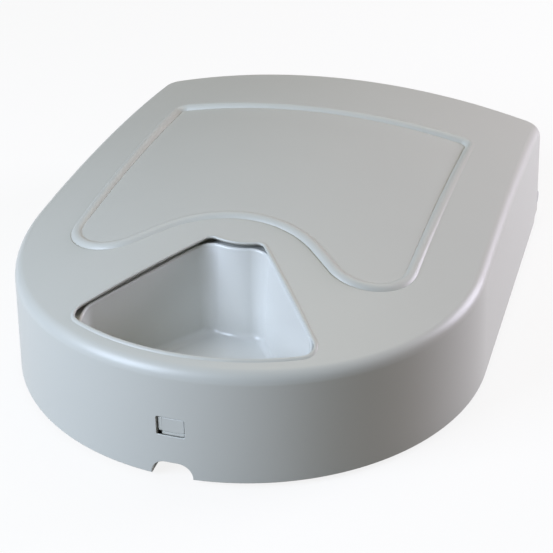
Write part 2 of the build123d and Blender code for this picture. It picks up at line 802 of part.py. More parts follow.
with BuildPart() as reduction_gear:
    with BuildSketch(Plane((0, idler_y, wheel_low))):
        with BuildLine():
            Polyline(*gear_points(wheel_teeth, 90), close=True)
        make_face()
    extrude(amount=wheel_high - wheel_low)
    with BuildSketch(Plane((0, idler_y, wheel_high))):
        with BuildLine():
            Polyline(*gear_points(pinion_teeth, half_tooth - 90), close=True)
        make_face()
    extrude(amount=gear_high - wheel_high)
    with BuildSketch(Plane.XY):
        with Locations((0, idler_y)):
            Circle(axle_radius + pin_gap)
    extrude(amount=deck_top, mode=Mode.SUBTRACT)
save(reduction_gear, "reduction_gear")

with BuildPart() as idler_axle:
    with BuildSketch(Plane.XY.offset(axle_low)):
        with Locations((0, idler_y)):
            Circle(axle_radius)
    extrude(amount=cavity_top + axle_sink - axle_low)
save(idler_axle, "idler_axle")

with BuildPart() as drive_gear:
    with BuildSketch(Plane.XY.offset(gear_low)):
        with BuildLine():
            Polyline(*gear_points(gear_teeth, 90), close=True)
        make_face()
        Circle(shaft_radius, mode=Mode.SUBTRACT)
        with PolarLocations(gear_holes[0], meals, start_angle=half_sector):
            Circle(gear_holes[1], mode=Mode.SUBTRACT)
    extrude(amount=gear_high - gear_low)
    with BuildSketch(Plane.XY.offset(gear_high - magnet_sink)):
        with PolarLocations(magnet_circle, meals):
            Circle(magnet_radius)
    extrude(amount=magnet_sink, mode=Mode.SUBTRACT)
save(drive_gear, "drive_gear")

with BuildPart() as index_magnets:
    with BuildSketch(Plane.XY.offset(gear_high - magnet_sink)):
        with PolarLocations(magnet_circle, meals):
            Circle(magnet_radius)
    extrude(amount=magnet_height)
save(index_magnets, "index_magnets")

with BuildPart() as index_sensor:
    with Locations((magnet_circle, 0, cavity_top - sensor_size[2] / 2)):
        Box(*sensor_size)
save(index_sensor, "index_sensor")

with BuildPart() as drive_hub:
    with BuildSketch(Plane.XY.offset(wheel_low + hub_foot)):
        Circle(shaft_radius)
    extrude(amount=well_floor + hub_flange[0] - wheel_low)
    with BuildSketch(Plane.XY.offset(well_floor + hub_flange[0])):
        Circle(column_radius)
    extrude(amount=hub_flange[1])
    with BuildSketch(Plane.XY.offset(well_floor + hub_flange[0])):
        RegularPolygon(key_radius, meals)
    extrude(amount=key_top - well_floor - hub_flange[0])
    chamfer(drive_hub.edges().group_by(Axis.Z)[-1], key_chamfer)
save(drive_hub, "drive_hub")

with BuildPart() as hub_bearing:
    with BuildSketch(Plane.XY.offset(cavity_top - bearing_flange[1])):
        Circle(bearing_radius)
    extrude(amount=well_floor + bearing_lip - cavity_top + bearing_flange[1])
    with BuildSketch(Plane.XY.offset(cavity_top - bearing_flange[1])):
        Circle(bearing_flange[0])
    extrude(amount=bearing_flange[1])
    with BuildSketch(Plane.XY):
        Circle(shaft_radius + pin_gap)
    extrude(amount=deck_top, mode=Mode.SUBTRACT)
save(hub_bearing, "hub_bearing")

# Controls: plate, lens, display, board, switches and buttons
with BuildPart() as control_plate_piece:
    with BuildSketch(Plane.XY.offset(deck_top)):
        with Locations((0, panel_mid_y)):
            RectangleRounded(*panel_size, panel_corner_radius)
        with Locations((window_x, panel_mid_y)):
            Rectangle(*window_size, mode=Mode.SUBTRACT)
        with Locations(*button_points):
            Circle(button_radius + door_gap, mode=Mode.SUBTRACT)
    extrude(amount=control_plate)
save(control_plate_piece, "control_plate")

with BuildPart() as display_lens:
    with BuildSketch(Plane.XY.offset(deck_top)):
        with Locations((window_x, panel_mid_y)):
            Rectangle(*window_size)
    extrude(amount=control_plate - lens_sink)
save(display_lens, "display_lens")

board_top = board_z + board_thickness
with BuildPart() as display_module:
    with Locations((window_x, panel_mid_y, (board_top + deck_top - lens_sink) / 2)):
        Box(window_size[0] + 2, window_size[1] + 4, deck_top - lens_sink - board_top)
save(display_module, "display_module")

with BuildPart() as circuit_board:
    with BuildSketch(Plane.XY.offset(board_z)):
        with Locations((0, panel_mid_y)):
            Rectangle(*board_size)
        with Locations(*pillar_points):
            Circle(screw_radius, mode=Mode.SUBTRACT)
    extrude(amount=board_thickness)
save(circuit_board, "circuit_board")

switch_top = board_top + switch_size[2] + switch_key[1]
with BuildPart() as tact_switches:
    for x, y in button_points:
        with Locations((x, y, board_top + switch_size[2] / 2)):
            Box(*switch_size)
        with BuildSketch(Plane.XY.offset(switch_top - switch_key[1])):
            with Locations((x, y)):
                Circle(switch_key[0])
        extrude(amount=switch_key[1])
save(tact_switches, "tact_switches")

# A button's flange, under the plate, keeps it from falling out; its stem stands over a switch
flange_low = deck_top - button_flange - head_gap
stem_low = switch_top + button_travel + pin_gap
for name, point in zip(button_names, button_points):
    with BuildPart() as button:
        with BuildSketch(Plane.XY.offset(flange_low)):
            with Locations(point):
                Circle(button_radius)
        extrude(amount=button_top - flange_low)
        fillet(button.edges().group_by(Axis.Z)[-1], button_edge)
        with BuildSketch(Plane.XY.offset(flange_low)):
            with Locations(point):
                Circle(button_radius + button_flange)
        extrude(amount=button_flange)
        with BuildSketch(Plane.XY.offset(stem_low)):
            with Locations(point):
                Circle(stem_radius)
        extrude(amount=flange_low - stem_low)
    save(button, name)

# Latch: sprung lever on a pin, with its nose in the lid's window
nose_front = lid_wall - skirt_radius + lean((window_low + window_high) / 2) - nose_depth
nose_top = window_high - 0.5
nose_low = window_low + 1.0
with BuildPart() as latch_lever:
    with BuildSketch(Plane.YZ.offset(-lever_half)):
        with BuildLine():
            Polyline(
                (lever_back, latch_pivot_z),
                (lever_back, nose_top),
                (nose_front + 0.6, nose_top),
                (nose_front, nose_top - 1.1),
                (nose_front, nose_low + 1.2),
                (nose_front + 1.2, nose_low),
                (lever_front, nose_low),
                (lever_front, latch_pivot_z),
                close=True,
            )
        make_face()
        with Locations((latch_pivot_y, latch_pivot_z)):
            Circle(latch_boss_radius)
            Circle(latch_pin_radius + pin_gap, mode=Mode.SUBTRACT)
    extrude(amount=2 * lever_half)
save(latch_lever, "latch_lever")

with BuildPart() as latch_pin:
    with BuildSketch(Plane.YZ.offset(-pocket_half)):
        with Locations((latch_pivot_y, latch_pivot_z)):
            Circle(latch_pin_radius)
    extrude(amount=2 * pocket_half)
save(latch_pin, "latch_pin")

# Torsion spring round the pin, beside the lever, with its leg against the pocket's back
spring_from = lever_half + pin_gap
spring_width = pocket_half - latch_ear[0] - pin_gap - spring_from
leg_top = (latch_pivot_z + window_high) / 2
with BuildPart() as latch_spring:
    with BuildSketch(Plane.YZ.offset(spring_from)):
        with Locations((latch_pivot_y, latch_pivot_z)):
            Circle(latch_pin_radius + spring_wire)
            Circle(latch_pin_radius, mode=Mode.SUBTRACT)
    extrude(amount=spring_width)
    with BuildSketch(Plane.YZ.offset(spring_from + spring_width - spring_wire)):
        with BuildLine():
            Polyline(
                (latch_pivot_y + latch_pin_radius, latch_pivot_z),
                (latch_pivot_y + latch_pin_radius + spring_wire, latch_pivot_z),
                (-pocket_back, leg_top),
                (-pocket_back - spring_wire, leg_top),
                close=True,
            )
        make_face()
    extrude(amount=spring_wire)
save(latch_spring, "latch_spring")

with BuildPart() as hinge_pins:
    for side in (1, -1):
        head_x = wall_x - counterbore_depth + head_gap
        with BuildSketch(Plane.YZ.offset(side * (ear_in - pin_root))):
            with Locations((hinge_y, hinge_z)):
                Circle(pin_radius)
        extrude(amount=side * (head_x - ear_in + pin_root))
        with BuildSketch(Plane.YZ.offset(side * head_x)):
            with Locations((hinge_y, hinge_z)):
                Circle(pin_head_radius)
        extrude(amount=side * pin_head)
save(hinge_pins, "hinge_pins")
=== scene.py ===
"""Five-meal pet feeder: its looks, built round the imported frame; sizes are in millimetres."""

import json
import math

import bmesh
import bpy
import numpy as np
from bpy.props import FloatProperty, FloatVectorProperty, PointerProperty
from mathutils import Matrix, Vector
from mathutils.geometry import delaunay_2d_cdt

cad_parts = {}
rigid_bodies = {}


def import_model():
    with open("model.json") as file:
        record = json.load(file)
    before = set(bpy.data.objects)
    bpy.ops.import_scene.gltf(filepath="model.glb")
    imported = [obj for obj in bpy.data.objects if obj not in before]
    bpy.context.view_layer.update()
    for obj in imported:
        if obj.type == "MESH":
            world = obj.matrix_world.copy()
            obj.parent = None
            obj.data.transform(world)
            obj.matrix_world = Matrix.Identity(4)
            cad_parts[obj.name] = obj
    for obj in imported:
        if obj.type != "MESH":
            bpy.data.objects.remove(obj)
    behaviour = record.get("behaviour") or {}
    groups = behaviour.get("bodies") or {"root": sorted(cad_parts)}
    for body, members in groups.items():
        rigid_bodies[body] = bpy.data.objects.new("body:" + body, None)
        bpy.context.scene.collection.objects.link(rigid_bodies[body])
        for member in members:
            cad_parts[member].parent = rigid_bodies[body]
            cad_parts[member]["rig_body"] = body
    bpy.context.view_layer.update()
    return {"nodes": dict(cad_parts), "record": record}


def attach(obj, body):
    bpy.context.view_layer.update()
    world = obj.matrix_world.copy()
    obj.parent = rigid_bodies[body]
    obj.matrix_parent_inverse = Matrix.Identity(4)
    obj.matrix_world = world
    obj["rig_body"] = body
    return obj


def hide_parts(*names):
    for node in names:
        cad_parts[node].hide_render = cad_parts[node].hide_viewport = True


bl_info = {
    "name": "Five-meal pet feeder",
    "version": (1, 0, 0),
    "blender": (4, 5, 0),
    "location": "3D View > Sidebar > Feeder",
    "description": "Builds a pet feeder with a hinged lid and a turning meal tray round its packed frame",
    "category": "Object",
}

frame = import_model()
NODES = frame["nodes"]
MM = 0.001

# Sampling: steps along plan curves, along walls and over surfaces, and how far fillers stay from edges
CURVE_STEP = 3.0
FINE_STEP = 2.0
WALL_STEP = 5.0
FILL_STEP = 5.0
LID_CLEARANCE = 2.6
TRAY_CLEARANCE = 2.0
WALL_CLEARANCE = 1.2
CIRCLE_STEPS = 48
BORE_STEPS = 40
ROUND_STEPS = 12
LIP_STEPS = 6
FIT_ROUNDS = 4
SLIVER = 1e-6       # triangles of a smaller area, in square millimetres, are dropped
WELD = 2e-6         # points nearer than this, in metres, are joined

# Casing: the plan of the lid's skirt at floor level, and its leaning walls
SKIRT_RADIUS = 150.0
BACK_Y = 231.7
SIDE_TAPER = math.radians(0.88)
DRAFT = math.radians(2.0)
CORNER_RADIUS = 15.0
LID_WALL = 2.5
SKIRT_BOTTOM = 3.0
SKIRT_BOTTOM_REAR = 7.0
REAR_RELIEF_Y = 205.0

# Crowns of the lid's top and of its fan-shaped panel: top height, place along Y, radii across and along
LID_CROWN = (99.3, 93.6, 524.6, 1175.0)
PANEL_CROWN = (98.73, 72.4, 466.0, 1175.0)

# Fan-shaped panel
PANEL_HALF_WIDTH = 103.4
PANEL_HALF_BACK = 103.2
PANEL_BACK_Y = 152.0
PANEL_BULGE = 0.6
PANEL_CORNER = 4.0
LOBE_Y = -22.0
LOBE_RADIUS = 22.0
WAVE_CREST_Y = -1.6
WAVE_RADIUS = 72.0

# Meals
MEALS = 5
HALF_SECTOR = math.pi / MEALS
OPENING = {"inner": 34.0, "outer": 134.2, "flank": 4.7, "inner_corner": 5.0, "outer_corner": 9.0}
LIP_HEIGHT = 0.7

# Tray: flat hub, cone-shaped top, vertical rim, and five drafted bowls
RIM_RADIUS = 138.0
RIM_Z = 70.4
RIM_DEPTH = 11.0
HUB_RADIUS = 34.0
HUB_Z = 86.5
TRAY_WALL = 2.0
BOWL_FLOOR = 28.0
BOWL_DRAFT = math.radians(4.0)
BOWL_SHRINK = 50.0 * math.tan(BOWL_DRAFT)
BOWL = {
    "inner": 35.6 + BOWL_SHRINK,
    "outer": 134.6 - BOWL_SHRINK,
    "flank": 4.3 + BOWL_SHRINK,
    "inner_corner": 9.0,
    "outer_corner": 12.0,
}

# Hinge, latch window and finger notch
HINGE_Y = 219.5
HINGE_Z = 16.5
HINGE_BORE = 3.5
COUNTERBORE = (5.0, 1.3)                # radius and depth
BOSS_RADIUS = 7.0
BOSS_END_X = 136.1
WINDOW = (17.0, 30.5, 42.5, 1.0)        # width, bottom, top and corner
NOTCH = (25.0, 12.5, 9.0)               # width, top and corner
GROOVE_DEPTH = 1.4
WALL_SPLIT_Z = 50.0


# Plan outlines


FLIP = np.array((-1, 1))


class Line:
    """Straight stretch of a path."""

    def __init__(self, start, end):
        self.start = np.array(start, float)
        self.way = np.array(end, float) - self.start
        self.length = float(np.hypot(*self.way))
        self.steps = 1

    def at(self, distance):
        way = self.way / self.length
        return self.start + way * distance, np.array((way[1], -way[0]))

    def mirrored(self):
        return Line(FLIP * (self.start + self.way), FLIP * self.start)


class Arc:
    """Round stretch of a path, from one angle to another; it turns clockwise where the second is lower."""

    def __init__(self, centre, radius, first, last):
        self.centre = np.array(centre, float)
        self.radius = radius
        self.first = first
        self.turn = last - first
        self.length = abs(self.turn) * radius
        self.steps = max(1, math.ceil(abs(self.turn) / math.radians(6)))

    def at(self, distance):
        angle = self.first + self.turn * distance / self.length
        out = np.array((math.cos(angle), math.sin(angle)))
        return self.centre + out * self.radius, out * math.copysign(1, self.turn)

    def mirrored(self):
        return Arc(FLIP * self.centre, self.radius, math.pi - self.first - self.turn, math.pi - self.first)


class Path:
    """Closed outline walked anticlockwise, with its outward normals."""

    def __init__(self, stretches):
        self.stretches = [s for s in stretches if s.length > 1e-6]
        self.starts = np.concatenate(([0.0], np.cumsum([s.length for s in self.stretches])))
        self.length = float(self.starts[-1])

    def at(self, distance):
        distance = min(max(distance, 0.0), self.length)
        index = min(int(np.searchsorted(self.starts, distance, "right")) - 1, len(self.stretches) - 1)
        return self.stretches[index].at(distance - self.starts[index])

    def distances(self, step):
        """Distances of its samples, at most a step apart, with every stretch's start among them."""
        found = []
        for start, stretch in zip(self.starts, self.stretches):
            count = max(stretch.steps, math.ceil(stretch.length / step))
            found += [start + stretch.length * k / count for k in range(count)]
        return np.array(found)

    def sample(self, step):
        pairs = [self.at(s) for s in self.distances(step)]
        return np.array([p for p, _ in pairs]), np.array([n for _, n in pairs])


def mirror(half):
    """The stretches of the right half carried over to the left, in walking order."""
    return [stretch.mirrored() for stretch in reversed(half)]


def casing_path():
    """Plan of the skirt, from the middle of its back over the left side and the round front."""
    side = SKIRT_RADIUS * np.array((math.cos(SIDE_TAPER), math.sin(SIDE_TAPER)))
    back_x = side[0] - (BACK_Y - side[1]) * math.tan(SIDE_TAPER)
    turn = math.pi / 2 - SIDE_TAPER
    trim = CORNER_RADIUS * math.tan(turn / 2)
    up = np.array((-math.sin(SIDE_TAPER), math.cos(SIDE_TAPER)))
    side_end = np.array((back_x, BACK_Y)) - trim * up
    back_end = np.array((back_x - trim, BACK_Y))
    centre = (back_end[0], BACK_Y - CORNER_RADIUS)
    front = Arc((0, 0), SKIRT_RADIUS, math.pi - SIDE_TAPER, 2 * math.pi + SIDE_TAPER)
    corner = Arc(centre, CORNER_RADIUS, math.pi / 2 - turn, math.pi / 2)
    half = [Line(side, side_end), corner, Line(back_end, (0, BACK_Y))]
    return Path(mirror(half) + [front] + half)


def fan_path():
    """Plan of the lid's panel: bowed back, straight sides, two round lobes and a front wave."""
    lobe = np.array((PANEL_HALF_WIDTH - LOBE_RADIUS, LOBE_Y))
    wave = np.array((0, WAVE_CREST_Y - WAVE_RADIUS))
    gap = lobe - wave
    turn = math.atan2(gap[1], gap[0]) + math.acos((WAVE_RADIUS + LOBE_RADIUS) / np.hypot(*gap))
    out = np.array((math.cos(turn), math.sin(turn)))
    wave_end = wave + WAVE_RADIUS * out
    lobe_start = lobe - LOBE_RADIUS * out
    lobe_end = lobe + np.array((LOBE_RADIUS, 0))
    corner = np.array((PANEL_HALF_BACK, PANEL_BACK_Y))
    back_radius = (PANEL_HALF_BACK**2 + PANEL_BULGE**2) / (2 * PANEL_BULGE)
    back_angle = math.asin(PANEL_HALF_BACK / back_radius)
    side = (corner - lobe_end) / np.hypot(*(corner - lobe_end))
    side_angle = math.atan2(side[1], side[0])
    corner_turn = math.pi - back_angle - side_angle
    trim = PANEL_CORNER * math.tan(corner_turn / 2)
    side_end = corner - trim * side
    inward = np.array((-side[1], side[0]))
    centre = side_end + PANEL_CORNER * inward
    first = side_angle - math.pi / 2
    back_start = math.pi / 2 - back_angle + trim / back_radius
    back_centre = (0, PANEL_BACK_Y + PANEL_BULGE - back_radius)
    half = [
        Line(wave_end, lobe_start),
        Arc(lobe, LOBE_RADIUS, turn - math.pi, 0),
        Line(lobe_end, side_end),
        Arc(centre, PANEL_CORNER, first, first + corner_turn),
    ]
    front = Arc(wave, WAVE_RADIUS, math.pi - turn, turn)
    back = Arc(back_centre, back_radius, back_start, math.pi - back_start)
    return Path([front] + half + [back] + mirror(half))


def wedge_path(inner, outer, flank, inner_corner, outer_corner):
    """Plan of one meal, pointing to the front."""
    apex = np.array((0, -flank / math.sin(HALF_SECTOR)))
    along = np.array((math.sin(HALF_SECTOR), -math.cos(HALF_SECTOR)))
    inward = np.array((-math.cos(HALF_SECTOR), -math.sin(HALF_SECTOR)))

    def corner(radius, reach):
        """Centre of a corner that touches the side, at a distance from the hub's axis."""
        start = apex + radius * inward
        half = start @ along
        travel = -half + math.sqrt(half**2 - start @ start + reach**2)
        return start + travel * along, apex + travel * along

    far, far_side = corner(outer_corner, outer - outer_corner)
    near, near_side = corner(inner_corner, inner + inner_corner)
    far_angle = math.atan2(far[1], far[0])
    near_angle = math.atan2(near[1], near[0])
    side_angle = math.atan2(-inward[1], -inward[0])
    half = [
        Arc(far, outer_corner, far_angle, side_angle),
        Line(far_side, near_side),
        Arc(near, inner_corner, side_angle, near_angle + math.pi),
    ]
    rim_arc = Arc((0, 0), outer, -math.pi - far_angle, far_angle)
    hub_arc = Arc((0, 0), inner, near_angle, -math.pi - near_angle)
    return Path([rim_arc] + half + [hub_arc] + mirror(half))


def rounded_rectangle(centre, width, height, radius):
    """Rectangle with round corners, as a path."""
    x, y = centre
    w, h = width / 2 - radius, height / 2 - radius
    quarter = math.pi / 2
    corners = [(x + w, y - h, -1), (x + w, y + h, 0), (x - w, y + h, 1), (x - w, y - h, 2)]
    arcs = [Arc((cx, cy), radius, k * quarter, (k + 1) * quarter) for cx, cy, k in corners]
    stretches = []
    for arc, following in zip(arcs, arcs[1:] + arcs[:1]):
        stretches += [arc, Line(arc.at(arc.length)[0], following.at(0)[0])]
    return Path(stretches)


# Surfaces


def crown_height(crown, x, y):
    """Height of a barrel-shaped crown."""
    top, middle, across, along = crown
    rib = across - along + np.sqrt(along**2 - (y - middle) ** 2)
    return top - across + np.sqrt(rib**2 - x**2)


def crown_slope(crown, x, y):
    """Gradient of a crown."""
    step = 0.05
    rise_x = crown_height(crown, x + step, y) - crown_height(crown, x - step, y)
    rise_y = crown_height(crown, x, y + step) - crown_height(crown, x, y - step)
    return np.stack((rise_x, rise_y), -1) / (2 * step)


def cone_height(x, y):
    """Height of the tray's top: a flat hub and a cone down to the rim."""
    reach = np.hypot(x, y)
    return np.interp(reach, (HUB_RADIUS, RIM_RADIUS), (HUB_Z, RIM_Z))


def lean(z):
    """Distance that a drafted outer wall has moved inwards at a height."""
    return z * math.tan(DRAFT)


def smoothstep(low, high, value):
    share = np.clip((value - low) / (high - low), 0, 1)
    return share * share * (3 - 2 * share)


def round_edge(point_a, normal_a, point_b, normal_b, radius, steps):
    """Round edge between two flanks seen in vertical sections, one section a row; from flank a to flank b."""
    reach_a = (point_a * normal_a).sum(1) - radius
    reach_b = (point_b * normal_b).sum(1) - radius
    det = normal_a[:, 0] * normal_b[:, 1] - normal_a[:, 1] * normal_b[:, 0]
    centre = np.stack(
        (
            (reach_a * normal_b[:, 1] - reach_b * normal_a[:, 1]) / det,
            (normal_a[:, 0] * reach_b - normal_b[:, 0] * reach_a) / det,
        ),
        1,
    )
    first = np.arctan2(normal_a[:, 1], normal_a[:, 0])
    last = np.arctan2(normal_b[:, 1], normal_b[:, 0])
    points, normals = [], []
    for share in np.linspace(0, 1, steps + 1):
        angle = first + (last - first) * share
        out = np.stack((np.cos(angle), np.sin(angle)), 1)
        points.append(centre + radius * out)
        normals.append(out)
    return points, normals


# Mesh building


class Shape:
    """Patches with their own normals, joined into one piece where their edges meet."""

    def __init__(self):
        self.points = []
        self.normals = []
        self.faces = []
        self.count = 0

    def add(self, points, normals, faces):
        """Adds a patch; each face is turned to the side that its normals point to."""
        points, normals, faces = np.asarray(points, float), np.asarray(normals, float), np.asarray(faces)
        corners = points[faces]
        cross = np.cross(corners[:, 2] - corners[:, 0], corners[:, -1] - corners[:, 1])
        if faces.shape[1] == 3:
            cross = np.cross(corners[:, 1] - corners[:, 0], corners[:, 2] - corners[:, 0])
        turned = (cross * normals[faces].sum(1)).sum(1) < 0
        faces[turned] = faces[turned][:, ::-1]
        self.points.append(points)
        self.normals.append(normals)
        self.faces += (faces + self.count).tolist()
        self.count += len(points)

    def rings(self, rings, normals, closed=True):
        """Band between rings, or between open rows, one after the other."""
        size = len(rings[0])
        faces = []
        for row in range(len(rings) - 1):
            for k in range(size if closed else size - 1):
                following = (k + 1) % size
                a, b = row * size, (row + 1) * size
                faces.append((a + k, b + k, b + following, a + following))
        self.add(np.concatenate(rings), np.concatenate(normals), faces)

    def cap(self, outer, holes, extra, height, side):
        """Level face inside a loop and outside its holes, seen from above or from below."""
        points, faces = triangulate(outer, holes, [], extra)
        self.add(placed(points, height), np.tile((0.0, 0.0, float(side)), (len(points), 1)), faces)

    def piece(self, name):
        """The finished object, in metres, with its patches' normals kept."""
        mesh = bpy.data.meshes.new(name)
        mesh.from_pydata(np.concatenate(self.points) * MM, [], self.faces)
        corner = np.zeros(len(mesh.loops), np.int32)
        mesh.loops.foreach_get("vertex_index", corner)
        return link(name, welded(mesh, np.concatenate(self.normals)[corner]))


def welded(mesh, normals):
    """The mesh with its patches joined where they meet, and with the given normal at each corner."""
    kept = mesh.attributes.new("kept_normal", "FLOAT_VECTOR", "CORNER")
    kept.data.foreach_set("vector", normals.astype(np.float32).ravel())
    merged = bmesh.new()
    merged.from_mesh(mesh)
    bmesh.ops.remove_doubles(merged, verts=merged.verts, dist=WELD)
    bmesh.ops.dissolve_degenerate(merged, edges=merged.edges, dist=WELD / 20)
    merged.to_mesh(mesh)
    merged.free()
    values = np.zeros(len(mesh.loops) * 3, np.float32)
    mesh.attributes["kept_normal"].data.foreach_get("vector", values)
    mesh.attributes.remove(mesh.attributes["kept_normal"])
    mesh.shade_smooth()
    mesh.normals_split_custom_set(values.reshape(-1, 3).tolist())
    return mesh


def link(name, mesh):
    """Adds a mesh to the scene as an object at the origin."""
    made = bpy.data.objects.new(name, mesh)
    bpy.context.scene.collection.objects.link(made)
    return made


def ring_normals(rings, facing):
    """Normals of a band of rings, from its own surface, on the side that it faces."""
    grid = np.array(rings)
    along = np.roll(grid, -1, 1) - np.roll(grid, 1, 1)
    across = np.gradient(grid, axis=0)
    cross = np.cross(along, across)
    cross /= np.maximum(np.linalg.norm(cross, axis=2, keepdims=True), 1e-12)
    side = np.sign((cross * facing).sum(2).mean())
    return list(cross * side)


def inside(loop, points):
    """Which of the points lie inside a closed loop."""
    x, y = points[:, 0][:, None], points[:, 1][:, None]
    ax, ay = loop[:, 0], loop[:, 1]
    bx, by = np.roll(ax, -1), np.roll(ay, -1)
    crossing = (ay > y) != (by > y)
    rise = np.where(by == ay, 1e-12, by - ay)
    return (crossing & (x < (bx - ax) * (y - ay) / rise + ax)).sum(1) % 2 == 1


def nearest(points, others):
    """Distance from each point to the nearest of the others."""
    found = np.full(len(points), np.inf)
    for start in range(0, len(others), 400):
        part = others[start : start + 400]
        gap = np.hypot(points[:, 0][:, None] - part[:, 0], points[:, 1][:, None] - part[:, 1])
        found = np.minimum(found, gap.min(1))
    return found


def filler(loops, spacing, clearance):
    """Even points between the loops."""
    edge = np.concatenate(loops)
    low, high = edge.min(0), edge.max(0)
    rows = np.arange(low[1], high[1], spacing * math.sqrt(0.75))
    columns = np.arange(low[0], high[0], spacing)
    grid = np.array([(x + (k % 2) * spacing / 2, y) for k, y in enumerate(rows) for x in columns])
    return grid[nearest(grid, edge) > clearance]


def triangulate(outer, holes, loops, extra):
    """All the points in turn, and the triangles between the outer loop and the holes as indices into them."""
    groups = [outer] + holes + loops
    edges, start = [], 0
    for group in groups:
        count = len(group)
        edges += [(start + k, start + (k + 1) % count) for k in range(count)]
        start += count
    points = np.concatenate(groups + [extra])
    result = delaunay_2d_cdt([Vector(p) for p in points], edges, [], 0, 1e-5, True)
    original = [ids[0] for ids in result[3]]
    faces = np.array([[original[i] for i in face] for face in result[2]])
    middle = points[faces].mean(1)
    kept = inside(outer, middle)
    for hole in holes:
        kept &= ~inside(hole, middle)
    faces = faces[kept]
    a, b, c = (points[faces[:, k]] for k in range(3))
    area = (b[:, 0] - a[:, 0]) * (c[:, 1] - a[:, 1]) - (b[:, 1] - a[:, 1]) * (c[:, 0] - a[:, 0])
    return points, faces[np.abs(area) > SLIVER]


def plan_offset(loop, normals, distance):
    """Plan points moved outwards, by one distance or by one each."""
    return loop + np.broadcast_to(distance, len(loop))[:, None] * normals


def placed(loop, height):
    """Plan points at a height, or at one height each."""
    return np.column_stack((loop, np.broadcast_to(height, len(loop))))


def lifted(vectors):
    """Plan directions as directions in space."""
    return np.column_stack((vectors, np.zeros(len(vectors))))


def circle(steps, first=0.0):
    """Unit directions once round, from an angle on."""
    turn = first + np.linspace(0, 2 * math.pi, steps, endpoint=False)
    return np.column_stack((np.cos(turn), np.sin(turn)))


def lowered(crown, drop):
    """Crown parallel to another, under it."""
    top, middle, across, along = crown
    return top - drop, middle, across - drop, along - drop


# Lid

BORDER_WIDTH = 6.5
BORDER = np.array((-7.6, -7.1, -6.8, -6.5, -6.2, -5.6, -4.6, -3.25, -1.9, -0.9, -0.3, 0.0, 0.3, 0.6, 1.1))
BORDER_SHARE = np.clip(BORDER / BORDER_WIDTH + 1, 0, 1)
BORDER_BEAD = 1.45 * 4 * BORDER_SHARE * (1 - BORDER_SHARE)
GROOVE_OUTSIDE = np.interp(BORDER, (-7.1, -6.8, -6.5), (0, 0.35, 0))
GROOVE_INSIDE = np.interp(BORDER, (0, 0.3, 0.6), (0, 0.35, 0))
STEP_BLEND = 0.3        # height over which the groove changes from one side of the bead to the other
LIP_REACH = 2.6
LIP_SLOPE = 1.4
LIP_ROUND = 0.9
LIP_UNDER = 0.5
LIP_BACK = 2.0
EDGE_BREAK = 0.4
BREAK_INSET = EDGE_BREAK * (1 - math.sqrt(0.5))
RELIEF_RAMP = 1.5       # half the length over which the skirt's foot rises behind the hinge
CREASE = (0.4, 16.0, 0.1)               # strip at each side of the latch's groove: width, height and corner
BORE_FLOOR = 0.6        # least depth of the counterbore
SEARCH_STEPS = 4000
PROBE = 0.1


def lid_top(shape, ring, hole, drop, side):
    """Crowned top between the rolled edge and the meal opening, with the panel's border in it."""
    lid_crown, panel_crown = lowered(LID_CROWN, drop), lowered(PANEL_CROWN, drop)
    fan, fan_out = fan_path().sample(CURVE_STEP)
    strips = [plan_offset(fan, fan_out, -d) for d in BORDER]
    extra = filler([ring, hole] + strips, FILL_STEP, LID_CLEARANCE)
    extra = extra[inside(ring, extra) & ~inside(hole, extra)]
    points, faces = triangulate(ring, [hole], strips, extra)
    x, y = points.T
    step = crown_height(panel_crown, x, y) - crown_height(lid_crown, x, y)
    share = inside(fan, points).astype(float)
    relief = np.zeros(len(points))
    rate = np.zeros((len(points), 2))
    raised = smoothstep(-STEP_BLEND, STEP_BLEND, step)
    first = len(ring) + len(hole)
    share_rate, bead_rate, outside_rate, inside_rate = (
        np.gradient(v, BORDER) for v in (BORDER_SHARE, BORDER_BEAD, GROOVE_OUTSIDE, GROOVE_INSIDE)
    )
    for k in range(len(BORDER)):
        part = slice(first + k * len(fan), first + (k + 1) * len(fan))
        up = raised[part]
        share[part] = BORDER_SHARE[k]
        relief[part] = BORDER_BEAD[k] - up * GROOVE_OUTSIDE[k] - (1 - up) * GROOVE_INSIDE[k]
        slope = step[part] * share_rate[k] + bead_rate[k] - up * outside_rate[k] - (1 - up) * inside_rate[k]
        rate[part] = -slope[:, None] * fan_out
    gradient = crown_slope(lid_crown, x, y)
    gradient += share[:, None] * (crown_slope(panel_crown, x, y) - gradient) + rate
    normals = np.column_stack((-gradient, np.ones(len(points))))
    normals /= np.linalg.norm(normals, axis=1, keepdims=True)
    height = crown_height(lid_crown, x, y) + share * step + relief
    shape.add(placed(points, height), side * normals, faces)


def rolled_edge(plan, out, inset, radius):
    """Rings and normals of the round edge from the crown down to the wall."""
    crown = lowered(LID_CROWN, inset)
    wall = np.tile((-inset, 0.0), (len(plan), 1))
    wall_normal = np.tile((math.cos(DRAFT), math.sin(DRAFT)), (len(plan), 1))
    reach = np.full(len(plan), -inset - radius)
    for _ in range(FIT_ROUNDS):
        spot = plan_offset(plan, out, reach)
        slope = (crown_slope(crown, *spot.T) * out).sum(1)
        top_normal = np.stack((-slope, np.ones(len(plan))), 1) / np.hypot(slope, 1)[:, None]
        top = np.stack((reach, crown_height(crown, *spot.T)), 1)
        sections, section_normals = round_edge(top, top_normal, wall, wall_normal, radius, ROUND_STEPS)
        reach = sections[0][:, 0]
    rings = [placed(plan_offset(plan, out, s[:, 0]), s[:, 1]) for s in sections]
    normals = [np.column_stack((out * n[:, :1], n[:, 1])) for n in section_normals]
    return rings, normals


def wall_points(path, points, depth):
    """Places and outward normals of points given along the wall and by height, some way into it."""
    places, normals = [], []
    for (s, z), deep in zip(points, np.broadcast_to(depth, len(points))):
        spot, out = path.at(s)
        places.append((*(spot - (lean(z) + deep) * out), z))
        normals.append((*(out * math.cos(DRAFT)), math.sin(DRAFT)))
    return np.array(places), np.array(normals)


